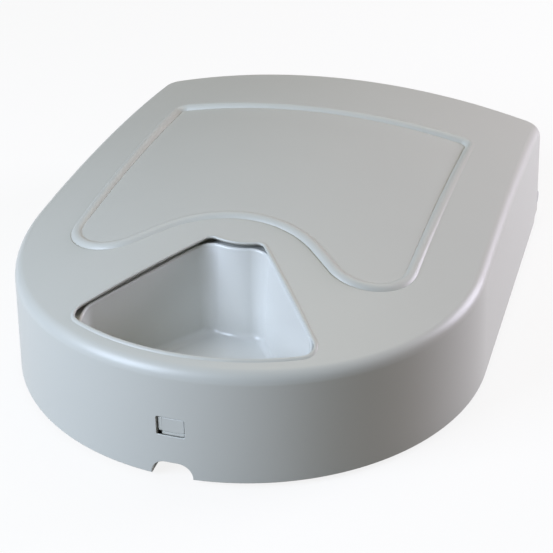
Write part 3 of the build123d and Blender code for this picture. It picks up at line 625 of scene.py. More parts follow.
def inner_depth(path, points):
    """Thickness of the skirt, which is less in the latch's groove between the notch and the window."""
    beside = np.abs(points[:, 0] - path.length / 2) < WINDOW[0] / 2
    below = points[:, 1] < WINDOW[1] + EDGE_BREAK
    return np.where(beside & below, LID_WALL - GROOVE_DEPTH, LID_WALL)


def chain_normals(points, closed):
    """Left-hand normals of a chain of points."""
    way = np.roll(points, -1, 0) - np.roll(points, 1, 0)
    if not closed:
        way[0], way[-1] = points[1] - points[0], points[-1] - points[-2]
    way /= np.linalg.norm(way, axis=1, keepdims=True)
    return np.column_stack((-way[:, 1], way[:, 0]))


def skirt_foot(path, distances):
    """Lower edge of the skirt: higher behind the hinge, with the finger notch in front."""
    middle = path.length / 2
    relief = max(s for s in np.arange(0, middle) if path.at(s)[0][1] > REAR_RELIEF_Y)
    width, top, corner = NOTCH
    start = middle - width / 2
    chain = [(s, SKIRT_BOTTOM_REAR) for s in distances if s < relief - 2 * RELIEF_RAMP]
    chain += [(relief - RELIEF_RAMP, SKIRT_BOTTOM_REAR), (relief + RELIEF_RAMP, SKIRT_BOTTOM)]
    chain += [(s, SKIRT_BOTTOM) for s in distances if relief + 4 < s < start - 2]
    chain.append((start, SKIRT_BOTTOM))
    for angle in np.linspace(math.pi, math.pi / 2, ROUND_STEPS):
        chain.append((start + corner * (1 + math.cos(angle)), top - corner * (1 - math.sin(angle))))
    mirrored = [(path.length - s, z) for s, z in chain[::-1]]
    return np.array(chain + [(middle, top)] + mirrored)


def hinge_loop(path, side, radius, depth):
    """Round hole in the wall about the hinge's axis, given along the wall and by height."""
    spans = np.linspace(path.length / 2, path.length * 0.98, SEARCH_STEPS)
    found = [path.at(s) for s in spans]
    y_there = np.array([p[1] - (lean(HINGE_Z) + depth) * n[1] for p, n in found])
    way = circle(BORE_STEPS)
    s = np.interp(HINGE_Y + radius * way[:, 0], y_there, spans)
    return np.column_stack((s if side > 0 else path.length - s, HINGE_Z + radius * way[:, 1]))


def skirt_wall(shape, path, distances, foot, holes, depth, side):
    """Lower part of the skirt's wall, on its outer or inner side, round its holes."""
    length = path.length
    rows = np.arange(2 * WALL_STEP, WALL_SPLIT_Z - 1, WALL_STEP)
    outer = np.concatenate(
        (
            foot,
            [(length, z) for z in rows[1:]],
            [(s, WALL_SPLIT_Z) for s in np.append(distances, length)[::-1]],
            [(0.0, z) for z in rows[:0:-1]],
        )
    )
    extra = np.array([(s, z) for s in distances for z in rows])
    extra = extra[nearest(extra, np.concatenate([outer] + holes)) > WALL_CLEARANCE]
    extra = extra[inside(outer, extra)]
    for hole in holes:
        extra = extra[~inside(hole, extra)]
    creases = []
    if side < 0:
        for reach in (WINDOW[0] / 2, -WINDOW[0] / 2):
            strip = rounded_rectangle((length / 2 + reach, (NOTCH[1] + WINDOW[1]) / 2), *CREASE)
            creases.append(strip.sample(FINE_STEP)[0])
    points, faces = triangulate(outer, holes, creases, extra)
    deep = depth if side > 0 else inner_depth(path, points)
    places, normals = wall_points(path, points, deep)
    shape.add(places, side * normals, faces)


def cut_edge(shape, path, chain, into, closed):
    """Edge of a cut through the skirt, with both its arrises broken."""
    deep = inner_depth(path, chain)
    profile = (
        (EDGE_BREAK, 0, 90),
        (BREAK_INSET, BREAK_INSET, 45),
        (0, EDGE_BREAK, 0),
        (0, deep - EDGE_BREAK, 0),
        (BREAK_INSET, deep - BREAK_INSET, -45),
        (EDGE_BREAK, deep, -90),
    )
    rows, normals = [], []
    for grow, depth, tilt in profile:
        row, out = wall_points(path, plan_offset(chain, into, grow), depth)
        ahead = wall_points(path, plan_offset(chain, into, grow + PROBE), depth)[0] - row
        ahead /= np.linalg.norm(ahead, axis=1, keepdims=True)
        rows.append(row)
        normals.append(math.sin(math.radians(tilt)) * out - math.cos(math.radians(tilt)) * ahead)
    shape.rings(rows, normals, closed)


def hinge_bore(shape, path, side):
    """Counterbore, bore and inner boss for one hinge pin."""
    around = np.column_stack((np.zeros(BORE_STEPS), circle(BORE_STEPS)))
    across = np.array((side, 0, 0))
    start = wall_points(path, hinge_loop(path, side, COUNTERBORE[0] + EDGE_BREAK, 0), 0)[0]
    end = wall_points(path, hinge_loop(path, side, BOSS_RADIUS, LID_WALL), LID_WALL)[0]
    face = np.abs(start[:, 0])
    floor = np.minimum(face.max() - COUNTERBORE[1], face - BORE_FLOOR)

    def ring(radius, reach):
        places = radius * around + (0, HINGE_Y, HINGE_Z)
        places[:, 0] = side * reach
        return places

    mouth = ring(COUNTERBORE[0], face - EDGE_BREAK)
    corner = ring(COUNTERBORE[0], floor)
    bore = ring(HINGE_BORE, floor)
    bore_end = ring(HINGE_BORE, BOSS_END_X)
    boss = ring(BOSS_RADIUS, BOSS_END_X)
    bands = (
        ([start, ring(COUNTERBORE[0] + BREAK_INSET, face - BREAK_INSET), mouth], across - around),
        ([mouth, corner], -around),
        ([corner, bore], across),
        ([bore, bore_end], -around),
        ([bore_end, boss], -across),
        ([boss, end], around),
    )
    for rows, outward in bands:
        shape.rings(rows, ring_normals(rows, outward))


def meal_lip(shape, lip_height):
    """Round lip of the meal opening, undercut so that only shadow parts it from the tray."""
    wedge, out = wedge_path(**OPENING).sample(CURVE_STEP)
    outward = lifted(out)
    up = np.array((0, 0, 1))

    def row(reach, rise):
        spot = plan_offset(wedge, out, reach)
        return placed(spot, crown_height(LID_CROWN, *spot.T) + rise)

    bead = []
    for share in np.linspace(0, 1, LIP_STEPS + 1):
        bead.append(row(LIP_REACH - LIP_SLOPE * share, lip_height * math.sin(share * math.pi / 2)))
    for angle in np.linspace(0, math.pi / 2, 8):
        bead.append(row(LIP_ROUND * (1 - math.sin(angle)), lip_height - LIP_ROUND * (1 - math.cos(angle))))
    edge = lip_height - LIP_ROUND
    for angle in np.linspace(0, math.pi / 2, 5)[1:]:
        bead.append(row(LIP_UNDER * (1 - math.cos(angle)), edge - LIP_UNDER * math.sin(angle)))
    spot = plan_offset(wedge, out, LIP_BACK)
    under = [bead[-1], placed(spot, crown_height(lowered(LID_CROWN, LID_WALL), *spot.T))]
    for rows, facing in ((bead, up - outward), (under, -up)):
        shape.rings(rows, ring_normals(rows, facing))


def lid_shape(edge_round, lip_height):
    """The whole lid: both sides of its skin, its cuts, its bores and the lip round its opening."""
    shape = Shape()
    path = casing_path()
    distances = path.distances(WALL_STEP)
    plan, out = path.sample(WALL_STEP)
    wedge, wedge_out = wedge_path(**OPENING).sample(CURVE_STEP)
    foot = skirt_foot(path, distances)
    foot_into = chain_normals(foot, False)
    width, low, high, corner = WINDOW
    middle = (path.length / 2, (low + high) / 2)
    window, window_out = rounded_rectangle(middle, width, high - low, corner).sample(CURVE_STEP)
    skins = (
        (0.0, edge_round, LIP_REACH, COUNTERBORE[0] + EDGE_BREAK, 1),
        (LID_WALL, edge_round - LID_WALL, LIP_BACK, BOSS_RADIUS, -1),
    )
    for inset, radius, hole_reach, bore_radius, side in skins:
        rings, normals = rolled_edge(plan, out, inset, radius)
        lid_top(shape, rings[0][:, :2], plan_offset(wedge, wedge_out, hole_reach), inset, side)
        shape.rings(rings, [side * n for n in normals])
        split = np.column_stack((distances, np.full(len(distances), WALL_SPLIT_Z)))
        foot_row, foot_normals = wall_points(path, split, inset)
        rows = [rings[-1] + (foot_row - rings[-1]) * share for share in (0, 0.33, 0.67, 1)]
        shape.rings(rows, [side * foot_normals] * 4)
        holes = [plan_offset(window, window_out, EDGE_BREAK)]
        holes += [hinge_loop(path, end, bore_radius, inset) for end in (1, -1)]
        skirt_wall(shape, path, distances, plan_offset(foot, foot_into, EDGE_BREAK), holes, inset, side)
    cut_edge(shape, path, foot, foot_into, False)
    cut_edge(shape, path, window, window_out, True)
    for side in (1, -1):
        hinge_bore(shape, path, side)
    meal_lip(shape, lip_height)
    return shape


# Tray

SECTOR_TOP = 33.0
RIM_ROUND = 2.0
BOWL_LIP = 1.5
MOUTH_RISE = 2.6                # how far a bowl's mouth stands above the cone
MOUTH_FADE = (119.0, 129.0)     # radii between which that rise ends
MOUTH_SPREAD = (33.4, 0.3, 2.1)  # radius that the bank keeps out of, and its least and full widths
BOWL_WALL = 1.7
FLOOR_ROUND = 5.0
SECTOR_STEPS = 24
SIDE_STEPS = 21
HUB_STEP = 6.0
FLOOR_STEP = 8.0
SEAM_ANGLE = -math.pi / 2 - HALF_SECTOR
COLUMN_RADIUS = 17.0
COLUMN_FOOT = 28.0
KEY_RADIUS = 12.3
KEY_TOP = 60.3
FINGER_HOLE = (9.0, 30.0, 4.0)  # width, length and corner
FINGER_HOLE_X = 23.0
CONE_SLOPE = (HUB_Z - RIM_Z) / (RIM_RADIUS - HUB_RADIUS)


def cone_normals(points):
    """Normals of the tray's top, turning softly from the flat hub to the cone."""
    reach = np.hypot(*points.T)
    slope = CONE_SLOPE * smoothstep(SECTOR_TOP, 2 * HUB_RADIUS - SECTOR_TOP, reach)
    normals = np.column_stack((slope[:, None] * points / reach[:, None], np.ones(len(points))))
    return normals / np.linalg.norm(normals, axis=1, keepdims=True)


def arc_points(radius, first, last, steps):
    turn = np.linspace(first, last, steps + 1)
    return radius * np.column_stack((np.cos(turn), np.sin(turn)))


def bowl_mouth(bowl, out, drop, deep, radius, rise):
    """Sections of the round lip between the tray's top and one bowl's wall; radius 0 gives a sharp one."""
    wall = np.tile((deep / math.cos(BOWL_DRAFT), 0.0), (len(bowl), 1))
    wall_normal = np.tile((-math.cos(BOWL_DRAFT), math.sin(BOWL_DRAFT)), (len(bowl), 1))
    reach = np.full(len(bowl), 2 * TRAY_WALL)
    for _ in range(FIT_ROUNDS + 1):
        spot = plan_offset(bowl, out, reach)
        tilt = (cone_normals(spot)[:, :2] * out).sum(1) / cone_normals(spot)[:, 2]
        top_normal = np.stack((tilt, np.ones(len(bowl))), 1) / np.hypot(tilt, 1)[:, None]
        top = np.stack((reach, cone_height(*spot.T) + rise - drop - BOWL_FLOOR), 1)
        sections, section_normals = round_edge(top, top_normal, wall, wall_normal, radius, LIP_STEPS)
        reach = sections[0][:, 0]
    return sections, section_normals


def sector_skin(shape, drop, deep, lip, side):
    """One fifth of a skin of the tray; drop and deep are its depths under the top and in the bowl's wall."""
    bowl, out = wedge_path(**BOWL).sample(CURVE_STEP)
    rise = np.zeros(len(bowl))
    if lip:
        rise = MOUTH_RISE * (1 - smoothstep(*MOUTH_FADE, np.hypot(*bowl.T)))
    sections, section_normals = bowl_mouth(bowl, out, drop, deep, lip, rise)
    mouth = [placed(plan_offset(bowl, out, s[:, 0]), s[:, 1] + BOWL_FLOOR) for s in sections]
    mouth_normals = [np.column_stack((out * n[:, :1], n[:, 1])) for n in section_normals]
    half, front = HALF_SECTOR, -math.pi / 2
    rim = arc_points(RIM_RADIUS - RIM_ROUND, front - half, front + half, SECTOR_STEPS)
    hub = arc_points(SECTOR_TOP, front + half, front - half, SECTOR_STEPS)
    shares = np.linspace(0, 1, SIDE_STEPS + 1)[1:-1]
    right = [rim[-1] + (hub[0] - rim[-1]) * share for share in shares]
    left = [hub[-1] + (rim[0] - hub[-1]) * share for share in shares]
    outer = np.concatenate((rim, right, hub, left))
    hole = mouth[0][:, :2]
    if lip:
        start = hole
        keep_out, least, full = MOUTH_SPREAD
        spread = np.clip(np.hypot(*start.T) - keep_out, least, full) * rise / MOUTH_RISE
        banks = []
        for t in np.linspace(1, 0, LIP_STEPS + 1):
            spot = plan_offset(start, out, spread * t)
            banks.append(placed(spot, cone_height(*spot.T) + rise * (0.5 + 0.5 * math.cos(math.pi * t))))
        shape.rings(banks, ring_normals(banks, np.array((0, 0, 1))))
        hole = banks[0][:, :2]
    extra = filler([outer, hole], FILL_STEP, TRAY_CLEARANCE)
    extra = extra[inside(outer, extra) & ~inside(hole, extra)]
    points, faces = triangulate(outer, [hole], [], extra)
    shape.add(placed(points, cone_height(*points.T) - drop), side * cone_normals(points), faces)
    if lip:
        shape.rings(mouth, [side * n for n in mouth_normals])
    bowl_inside(shape, bowl, out, mouth[-1], deep, side)


def bowl_inside(shape, bowl, out, top, deep, side):
    """Drafted wall of one bowl from its top edge down, the round foot of it, and the floor."""
    round_z = FLOOR_ROUND + BOWL_FLOOR
    centre = (FLOOR_ROUND * math.sin(BOWL_DRAFT) - FLOOR_ROUND) / math.cos(BOWL_DRAFT)
    radius = FLOOR_ROUND + deep
    floor_rings, floor_normals = [], []
    for angle in np.linspace(-BOWL_DRAFT, -math.pi / 2, ROUND_STEPS):
        spot = plan_offset(bowl, out, centre + radius * math.cos(angle))
        floor_rings.append(placed(spot, round_z + radius * math.sin(angle)))
        floor_normals.append(np.column_stack((-out * math.cos(angle), np.full(len(out), -math.sin(angle)))))
    wall = [top + (floor_rings[0] - top) * share for share in np.linspace(0, 1, 6)]
    shape.rings(wall, [side * floor_normals[0]] * len(wall))
    shape.rings(floor_rings, [side * n for n in floor_normals])
    edge = floor_rings[-1][:, :2]
    extra = filler([edge], FLOOR_STEP, FLOOR_STEP / 2)
    shape.cap(edge, [], extra[inside(edge, extra)], BOWL_FLOOR - deep, side)


def tray_sector():
    """One meal of the tray, pointing to the front, with its upper and lower skins."""
    shape = Shape()
    sector_skin(shape, 0.0, 0.0, BOWL_LIP, 1)
    sector_skin(shape, TRAY_WALL, BOWL_WALL, 0.0, -1)
    return shape


def turned_bands(shape, profile, normals):
    """Bands turned about the Z axis through places given by radius and height, in step with the sectors."""
    steps = SECTOR_STEPS * MEALS
    way = circle(steps, SEAM_ANGLE)
    rows = [placed(way * r, z) for r, z in profile]
    shape.rings(rows, [np.column_stack((way * nr, np.full(steps, nz))) for nr, nz in normals])


def tray_rim(shape):
    """Round edge and short wall of the tray's rim, and its lower edge."""
    tilt = math.atan(CONE_SLOPE)
    low = RIM_Z - RIM_DEPTH
    start = RIM_RADIUS - RIM_ROUND
    for inset, radius, side in ((0.0, RIM_ROUND, 1), (TRAY_WALL, 0.0, -1)):
        reach = RIM_RADIUS - inset
        top = cone_height(start, 0) - inset
        profile, normals = [(start, top)], [(math.sin(tilt), math.cos(tilt))]
        for angle in np.linspace(math.pi / 2 - tilt, 0, LIP_STEPS + 1):
            centre = (reach - radius, top - radius)
            profile.append((centre[0] + radius * math.cos(angle), centre[1] + radius * math.sin(angle)))
            normals.append((math.cos(angle), math.sin(angle)))
        profile.append((reach, low))
        normals.append((1.0, 0.0))
        turned_bands(shape, profile, [(side * a, side * b) for a, b in normals])
    turned_bands(shape, [(RIM_RADIUS, low), (RIM_RADIUS - TRAY_WALL, low)], [(0, -1)] * 2)


def tray_hub(shape):
    """Flat hub with its two finger holes, and the column with its five-sided socket."""
    steps = SECTOR_STEPS * MEALS
    edge = arc_points(SECTOR_TOP, SEAM_ANGLE, SEAM_ANGLE + 2 * math.pi, steps)[:-1]
    middles = ((-FINGER_HOLE_X, 0), (FINGER_HOLE_X, 0))
    holes = [rounded_rectangle(middle, *FINGER_HOLE).sample(FINE_STEP) for middle in middles]
    extra = filler([edge] + [points for points, _ in holes], HUB_STEP, TRAY_CLEARANCE)
    extra = extra[inside(edge, extra)]
    for hole, _ in holes:
        extra = extra[~inside(hole, extra)]
    for drop, side in ((0.0, 1), (TRAY_WALL, -1)):
        grown = [plan_offset(hole, out, EDGE_BREAK if side > 0 else 0) for hole, out in holes]
        shape.cap(edge, grown, extra, HUB_Z - drop, side)
    for hole, out in holes:
        rows = [
            placed(plan_offset(hole, out, EDGE_BREAK), HUB_Z),
            placed(plan_offset(hole, out, BREAK_INSET), HUB_Z - BREAK_INSET),
            placed(hole, HUB_Z - EDGE_BREAK),
            placed(hole, HUB_Z - TRAY_WALL),
        ]
        normals = [(0, 1), (-0.7, 0.7), (-1, 0), (-1, 0)]
        shape.rings(rows, [np.column_stack((out * a, np.full(len(out), b))) for a, b in normals])
    column = [(COLUMN_RADIUS, HUB_Z - TRAY_WALL), (COLUMN_RADIUS, COLUMN_FOOT)]
    turned_bands(shape, column, [(1, 0)] * 2)
    way = circle(steps, SEAM_ANGLE)
    turn = SEAM_ANGLE + np.linspace(0, 2 * math.pi, steps, endpoint=False)
    share = np.mod(turn, 2 * HALF_SECTOR) - HALF_SECTOR
    key = way * (KEY_RADIUS * math.cos(HALF_SECTOR) / np.cos(share))[:, None]
    rows = [placed(way * COLUMN_RADIUS, COLUMN_FOOT), placed(key, COLUMN_FOOT)]
    shape.rings(rows, [np.tile((0, 0, -1), (steps, 1))] * 2)
    rows = [placed(key, COLUMN_FOOT), placed(key, KEY_TOP)]
    shape.rings(rows, ring_normals(rows, -lifted(way)))
    rows = [placed(key, KEY_TOP), placed(key * 0.001, KEY_TOP)]
    shape.rings(rows, [np.tile((0, 0, -1), (steps, 1))] * 2)


# Node trees, finished pieces and copies

LEVEL_ANGLE = math.radians(0.5)
SHARP_ANGLE = math.radians(30)


def node(tree, kind, settings=None, inputs=None):
    """Adds a node, with its settings and with values or links for its inputs."""
    made = tree.nodes.new(kind)
    for name, value in (settings or {}).items():
        setattr(made, name, value)
    for key, value in (inputs or {}).items():
        if isinstance(value, bpy.types.NodeSocket):
            tree.links.new(value, made.inputs[key])
        else:
            made.inputs[key].default_value = value
    return made


def finished(made, slot, body, *nodes):
    """Names what a piece is made of, what it rides on and which CAD nodes it stands for."""
    made.data.materials.clear()
    made.data.materials.append(MATERIALS[slot])
    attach(made, body)
    if nodes:
        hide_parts(*nodes)


def applied(made):
    """The object with its modifiers applied, as a plain mesh."""
    evaluated = made.evaluated_get(bpy.context.evaluated_depsgraph_get())
    mesh = bpy.data.meshes.new_from_object(evaluated)
    made.modifiers.clear()
    made.data = mesh
    return made


def copies_tree():
    """Geometry nodes that put a part at every place, turned as the place says."""
    tree = bpy.data.node_groups.new("copies_at_places", "GeometryNodeTree")
    tree.is_modifier = True
    for name, kind in (("Places", "Geometry"), ("Part", "Object"), ("Material", "Material")):
        tree.interface.new_socket(name, in_out="INPUT", socket_type="NodeSocket" + kind)
    tree.interface.new_socket("Copies", in_out="OUTPUT", socket_type="NodeSocketGeometry")
    given = node(tree, "NodeGroupInput").outputs
    part = node(tree, "GeometryNodeObjectInfo", inputs={"Object": given["Part"]})
    turn = node(tree, "GeometryNodeInputNamedAttribute", {"data_type": "FLOAT_VECTOR"}, {"Name": "turn"})
    wiring = {
        "Points": given["Places"],
        "Instance": part.outputs["Geometry"],
        "Rotation": turn.outputs["Attribute"],
    }
    standing = node(tree, "GeometryNodeInstanceOnPoints", inputs=wiring)
    real = node(tree, "GeometryNodeRealizeInstances", inputs={"Geometry": standing.outputs["Instances"]})
    wiring = {"Geometry": real.outputs["Geometry"], "Material": given["Material"]}
    painted = node(tree, "GeometryNodeSetMaterial", inputs=wiring)
    node(tree, "NodeGroupOutput", inputs={"Copies": painted.outputs["Geometry"]})
    return tree


def copies(name, part, places, material, turns=None):
    """One mesh of a part's copies, at places in mm and turned by angles about Z."""
    mesh = bpy.data.meshes.new(name)
    mesh.from_pydata(np.array(places, float) * MM, [], [])
    turn = mesh.attributes.new("turn", "FLOAT_VECTOR", "POINT")
    for value, angle in zip(turn.data, turns or [0.0] * len(places)):
        value.vector = (0.0, 0.0, angle)
    made = link(name, mesh)
    modifier = made.modifiers.new("copies", "NODES")
    tree = bpy.data.node_groups.get("copies_at_places") or copies_tree()
    modifier.node_group = tree
    wanted = {"Part": part, "Material": material}
    for item in tree.interface.items_tree:
        if item.in_out == "INPUT" and item.name in wanted:
            modifier[item.identifier] = wanted[item.name]
    applied(made)
    bpy.data.objects.remove(part)
    return made


def corner_normals(mesh):
    values = np.zeros(len(mesh.loops) * 3, np.float32)
    mesh.corner_normals.foreach_get("vector", values)
    return values.reshape(-1, 3)


def joined(name, parts):
    """One object made of several, welded where they meet, with their normals kept."""
    points, faces, normals, count = [], [], [], 0
    for part in parts:
        mesh = part.data
        points += [tuple(v.co) for v in mesh.vertices]
        faces += [tuple(i + count for i in face.vertices) for face in mesh.polygons]
        normals.append(corner_normals(mesh))
        count += len(mesh.vertices)
        bpy.data.objects.remove(part)
    whole = bpy.data.meshes.new(name)
    whole.from_pydata(points, [], faces)
    return link(name, welded(whole, np.concatenate(normals)))


def dress(bevel, *node_names):
    """Finishes CAD nodes with the same bevel."""
    for node_name in node_names:
        dress_node(node_name, bevel)


def dress_node(node_name, bevel):
    """Merged copy of a CAD node with its sharp arrises broken by a bevel of a width in mm."""
    name = node_name + "_finish"
    mesh = NODES[node_name].data.copy()
    mesh.name = name
    merged = bmesh.new()
    merged.from_mesh(mesh)
    bmesh.ops.remove_doubles(merged, verts=merged.verts, dist=WELD)
    bmesh.ops.dissolve_limit(merged, angle_limit=LEVEL_ANGLE, verts=merged.verts, edges=merged.edges)
    merged.to_mesh(mesh)
    merged.free()
    mesh.shade_smooth()
    mesh.set_sharp_from_angle(angle=SHARP_ANGLE)
    made = link(name, mesh)
    if bevel:
        broken = made.modifiers.new("arrises", "BEVEL")
        broken.width = bevel * MM
        broken.segments = 2
        broken.limit_method = "ANGLE"
        broken.angle_limit = SHARP_ANGLE
        broken.harden_normals = True
        applied(made)
    finished(made, SLOTS[node_name], NODES[node_name]["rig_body"], node_name)


# Latch face, screws and feet

# Ends of the thumb face from the middle of the window, its profile by height and depth, and its end rounds
LATCH_FACE = (-5.4, 8.1)
LATCH_PROFILE = (
    (42.1, 3.2),
    (42.1, 0.9),
    (41.7, 0.5),
    (33.4, 0.5),
    (32.8, 1.4),
    (32.4, 1.4),
    (32.1, 0.6),
    (31.2, 0.6),
    (30.9, 0.9),
    (30.9, 3.2),
)
LATCH_ROUND = 0.3

# Pairs are a radius and a height or depth; the cross slot has a length, a width and a depth
SCREW_POINTS = ((80, -85), (-80, -85), (118, 40), (-118, 40), (30, 152), (-30, 152))
SCREW_HEAD = (3.0, 1.2)
SCREW_Z = 2.2
SCREW_SHANK = (1.5, 10.0)
SCREW_BREAK = 0.3
CROSS_SLOT = (4.0, 0.8, 0.7)
AXIS = 0.01
FOOT_POINTS = ((92, -64), (-92, -64), (52, 192), (-52, 192), (0, 0))
FOOT_RADIUS = 7.5
FOOT_HEIGHT = 2.0
FOOT_SOCKET = (6.0, 1.0)
FOOT_FLARE = math.radians(8.0)


def latch_face():
    """Thumb face of the latch in the lid's window, with a finger lip along its foot."""
    shape = Shape()
    path = casing_path()
    middle = path.length / 2
    low, high = middle + LATCH_FACE[0], middle + LATCH_FACE[1]
    z = np.array([z for z, _ in LATCH_PROFILE])
    deep = np.array([d for _, d in LATCH_PROFILE])
    spans = np.concatenate(([low], np.linspace(low + LATCH_ROUND, high - LATCH_ROUND, 8), [high]))
    sink = np.zeros(len(spans))
    sink[0] = sink[-1] = LATCH_ROUND
    rows = []
    for span, extra in zip(spans, sink):
        points = np.column_stack((np.full(len(z), span), z))
        rows.append(wall_points(path, points, np.minimum(deep + extra, LATCH_PROFILE[0][1]))[0])
    for k in range(len(z) - 1):
        pair = [np.array([row[k] for row in rows]), np.array([row[k + 1] for row in rows])]
        way = pair[1] - pair[0]
        along = pair[0][-1] - pair[0][0]
        normal = np.cross(along, way)
        normal /= np.maximum(np.linalg.norm(normal, axis=1, keepdims=True), 1e-9)
        shape.rings(pair, [normal, normal], False)
    for row, facing in ((rows[0], -1), (rows[-1], 1)):
        back = row.copy()
        back[:, 1] = row[0][1]
        across = np.tile((float(facing), 0.0, 0.0), (len(row), 1))
        shape.rings([row, back], [across, across], False)
    return shape


def turned(shape, profile):
    """Piece turned about the Z axis, as flat or sloping bands with crisp edges between them."""
    way = circle(CIRCLE_STEPS)
    for (r0, z0), (r1, z1) in zip(profile, profile[1:]):
        normal = np.array((z1 - z0, r0 - r1)) / math.hypot(z1 - z0, r0 - r1)
        normals = np.column_stack((way * normal[0], np.full(CIRCLE_STEPS, normal[1])))
        shape.rings([placed(way * r0, z0), placed(way * r1, z1)], [normals, normals])


def floor_screw():
    """Pan-head screw with a cross slot, head down."""
    shape = Shape()
    radius, height = SCREW_HEAD
    long, wide, deep = CROSS_SLOT
    quarter = np.array(((wide, wide), (wide, long), (-wide, long))) / 2
    cross = []
    for angle in (0, math.pi / 2, math.pi, 3 * math.pi / 2):
        cos, sin = math.cos(angle), math.sin(angle)
        cross += [(x * cos - y * sin, x * sin + y * cos) for x, y in quarter]
    cross = np.array(cross)
    ring = (radius - SCREW_BREAK) * circle(CIRCLE_STEPS)
    shape.cap(ring, [cross], np.empty((0, 2)), 0.0, -1)
    shape.cap(cross, [], np.empty((0, 2)), deep, -1)
    for k in range(len(cross)):
        a, b = cross[k], cross[(k + 1) % len(cross)]
        wall = [placed(np.array((a, b)), 0.0), placed(np.array((a, b)), deep)]
        inward = np.array((a[1] - b[1], b[0] - a[0], 0.0)) / np.hypot(*(b - a))
        shape.rings(wall, [np.tile(inward, (2, 1))] * 2, False)
    shank, reach = SCREW_SHANK
    end = height + reach
    profile = [(radius - SCREW_BREAK, 0), (radius, SCREW_BREAK), (radius, height)]
    turned(shape, profile + [(shank, height), (shank, end), (AXIS, end)])
    return shape


def rubber_foot():
    """Flared foot with its soft lower edge and the spigot that sits in the floor."""
    shape = Shape()
    top = FOOT_RADIUS + FOOT_HEIGHT * math.tan(FOOT_FLARE)
    end = FOOT_HEIGHT + FOOT_SOCKET[1]
    low = FOOT_RADIUS - EDGE_BREAK
    profile = [(AXIS, 0), (low, 0), (FOOT_RADIUS, EDGE_BREAK), (top, FOOT_HEIGHT)]
    turned(shape, profile + [(FOOT_SOCKET[0], FOOT_HEIGHT), (FOOT_SOCKET[0], end), (AXIS, end)])
    return shape


# Materials

SLOTS = {part["node"]: part["material_slot"] for part in frame["record"]["subparts"]}
MATERIALS = {}
MOTTLE_SIZE = 45
PLASTIC_IOR = 1.53


def linear(colour):
    """Linear colour, with alpha, of an sRGB hex colour."""
    values = [int(colour[k : k + 2], 16) / 255 for k in (1, 3, 5)]
    return (*[v / 12.92 if v <= 0.04045 else ((v + 0.055) / 1.055) ** 2.4 for v in values], 1.0)


def shaded(colour, factor):
    """Lighter or darker linear colour."""
    return (*[min(1.0, value * factor) for value in colour[:3]], 1.0)


def started(name):
    """New material with its node tree, its shader and the socket of the object's own coordinates."""
    made = bpy.data.materials.new(name)
    made.use_nodes = True
    tree = made.node_tree
    place = node(tree, "ShaderNodeTexCoord").outputs["Object"]
    return made, tree, tree.nodes["Principled BSDF"], place


def noise(tree, place, size, detail):
    """Noise with features of a size in mm."""
    inputs = {"Vector": place, "Scale": 1 / (size * MM), "Detail": detail}
    return node(tree, "ShaderNodeTexNoise", inputs=inputs).outputs["Fac"]


def tinted(tree, shader, share, colour, dark, light):
    """Base colour that wanders between a darker and a lighter shade."""
    tint = node(tree, "ShaderNodeMix", {"data_type": "RGBA"}, {0: share})
    tint.inputs[6].default_value = shaded(colour, dark)
    tint.inputs[7].default_value = shaded(colour, light)
    tree.links.new(tint.outputs[2], shader.inputs["Base Color"])


def roughened(tree, shader, share, roughness, spread):
    """Roughness that wanders round a middle value."""
    wiring = {"Value": share, "To Min": roughness - spread, "To Max": roughness + spread}
    rough = node(tree, "ShaderNodeMapRange", inputs=wiring)
    tree.links.new(rough.outputs["Result"], shader.inputs["Roughness"])


def moulded(name, colour, roughness, grain, depth, mottle=0.03, sheen=0.5):
    """Moulded plastic or rubber: a fine grain of a size in mm breaks the gloss, over a faint wide mottle."""
    made, tree, shader, place = started(name)
    shader.inputs["IOR"].default_value = PLASTIC_IOR
    shader.inputs["Specular IOR Level"].default_value = sheen
    fine = noise(tree, place, grain, 3.0)
    tinted(tree, shader, noise(tree, place, MOTTLE_SIZE, 2.0), colour, 1 - mottle, 1 + mottle)
    roughened(tree, shader, fine, roughness, 0.05)
    bump = node(tree, "ShaderNodeBump", inputs={"Height": fine, "Distance": depth * MM})
    tree.links.new(bump.outputs["Normal"], shader.inputs["Normal"])
    return made


def metal(name, colour, roughness, line):
    """Worked metal: fine lines of a width in mm spread its highlight."""
    made, tree, shader, place = started(name)
    shader.inputs["Metallic"].default_value = 1.0
    lines = noise(tree, place, line, 4.0)
    tinted(tree, shader, lines, colour, 0.88, 1.06)
    roughened(tree, shader, lines, roughness, 0.08)
    return made


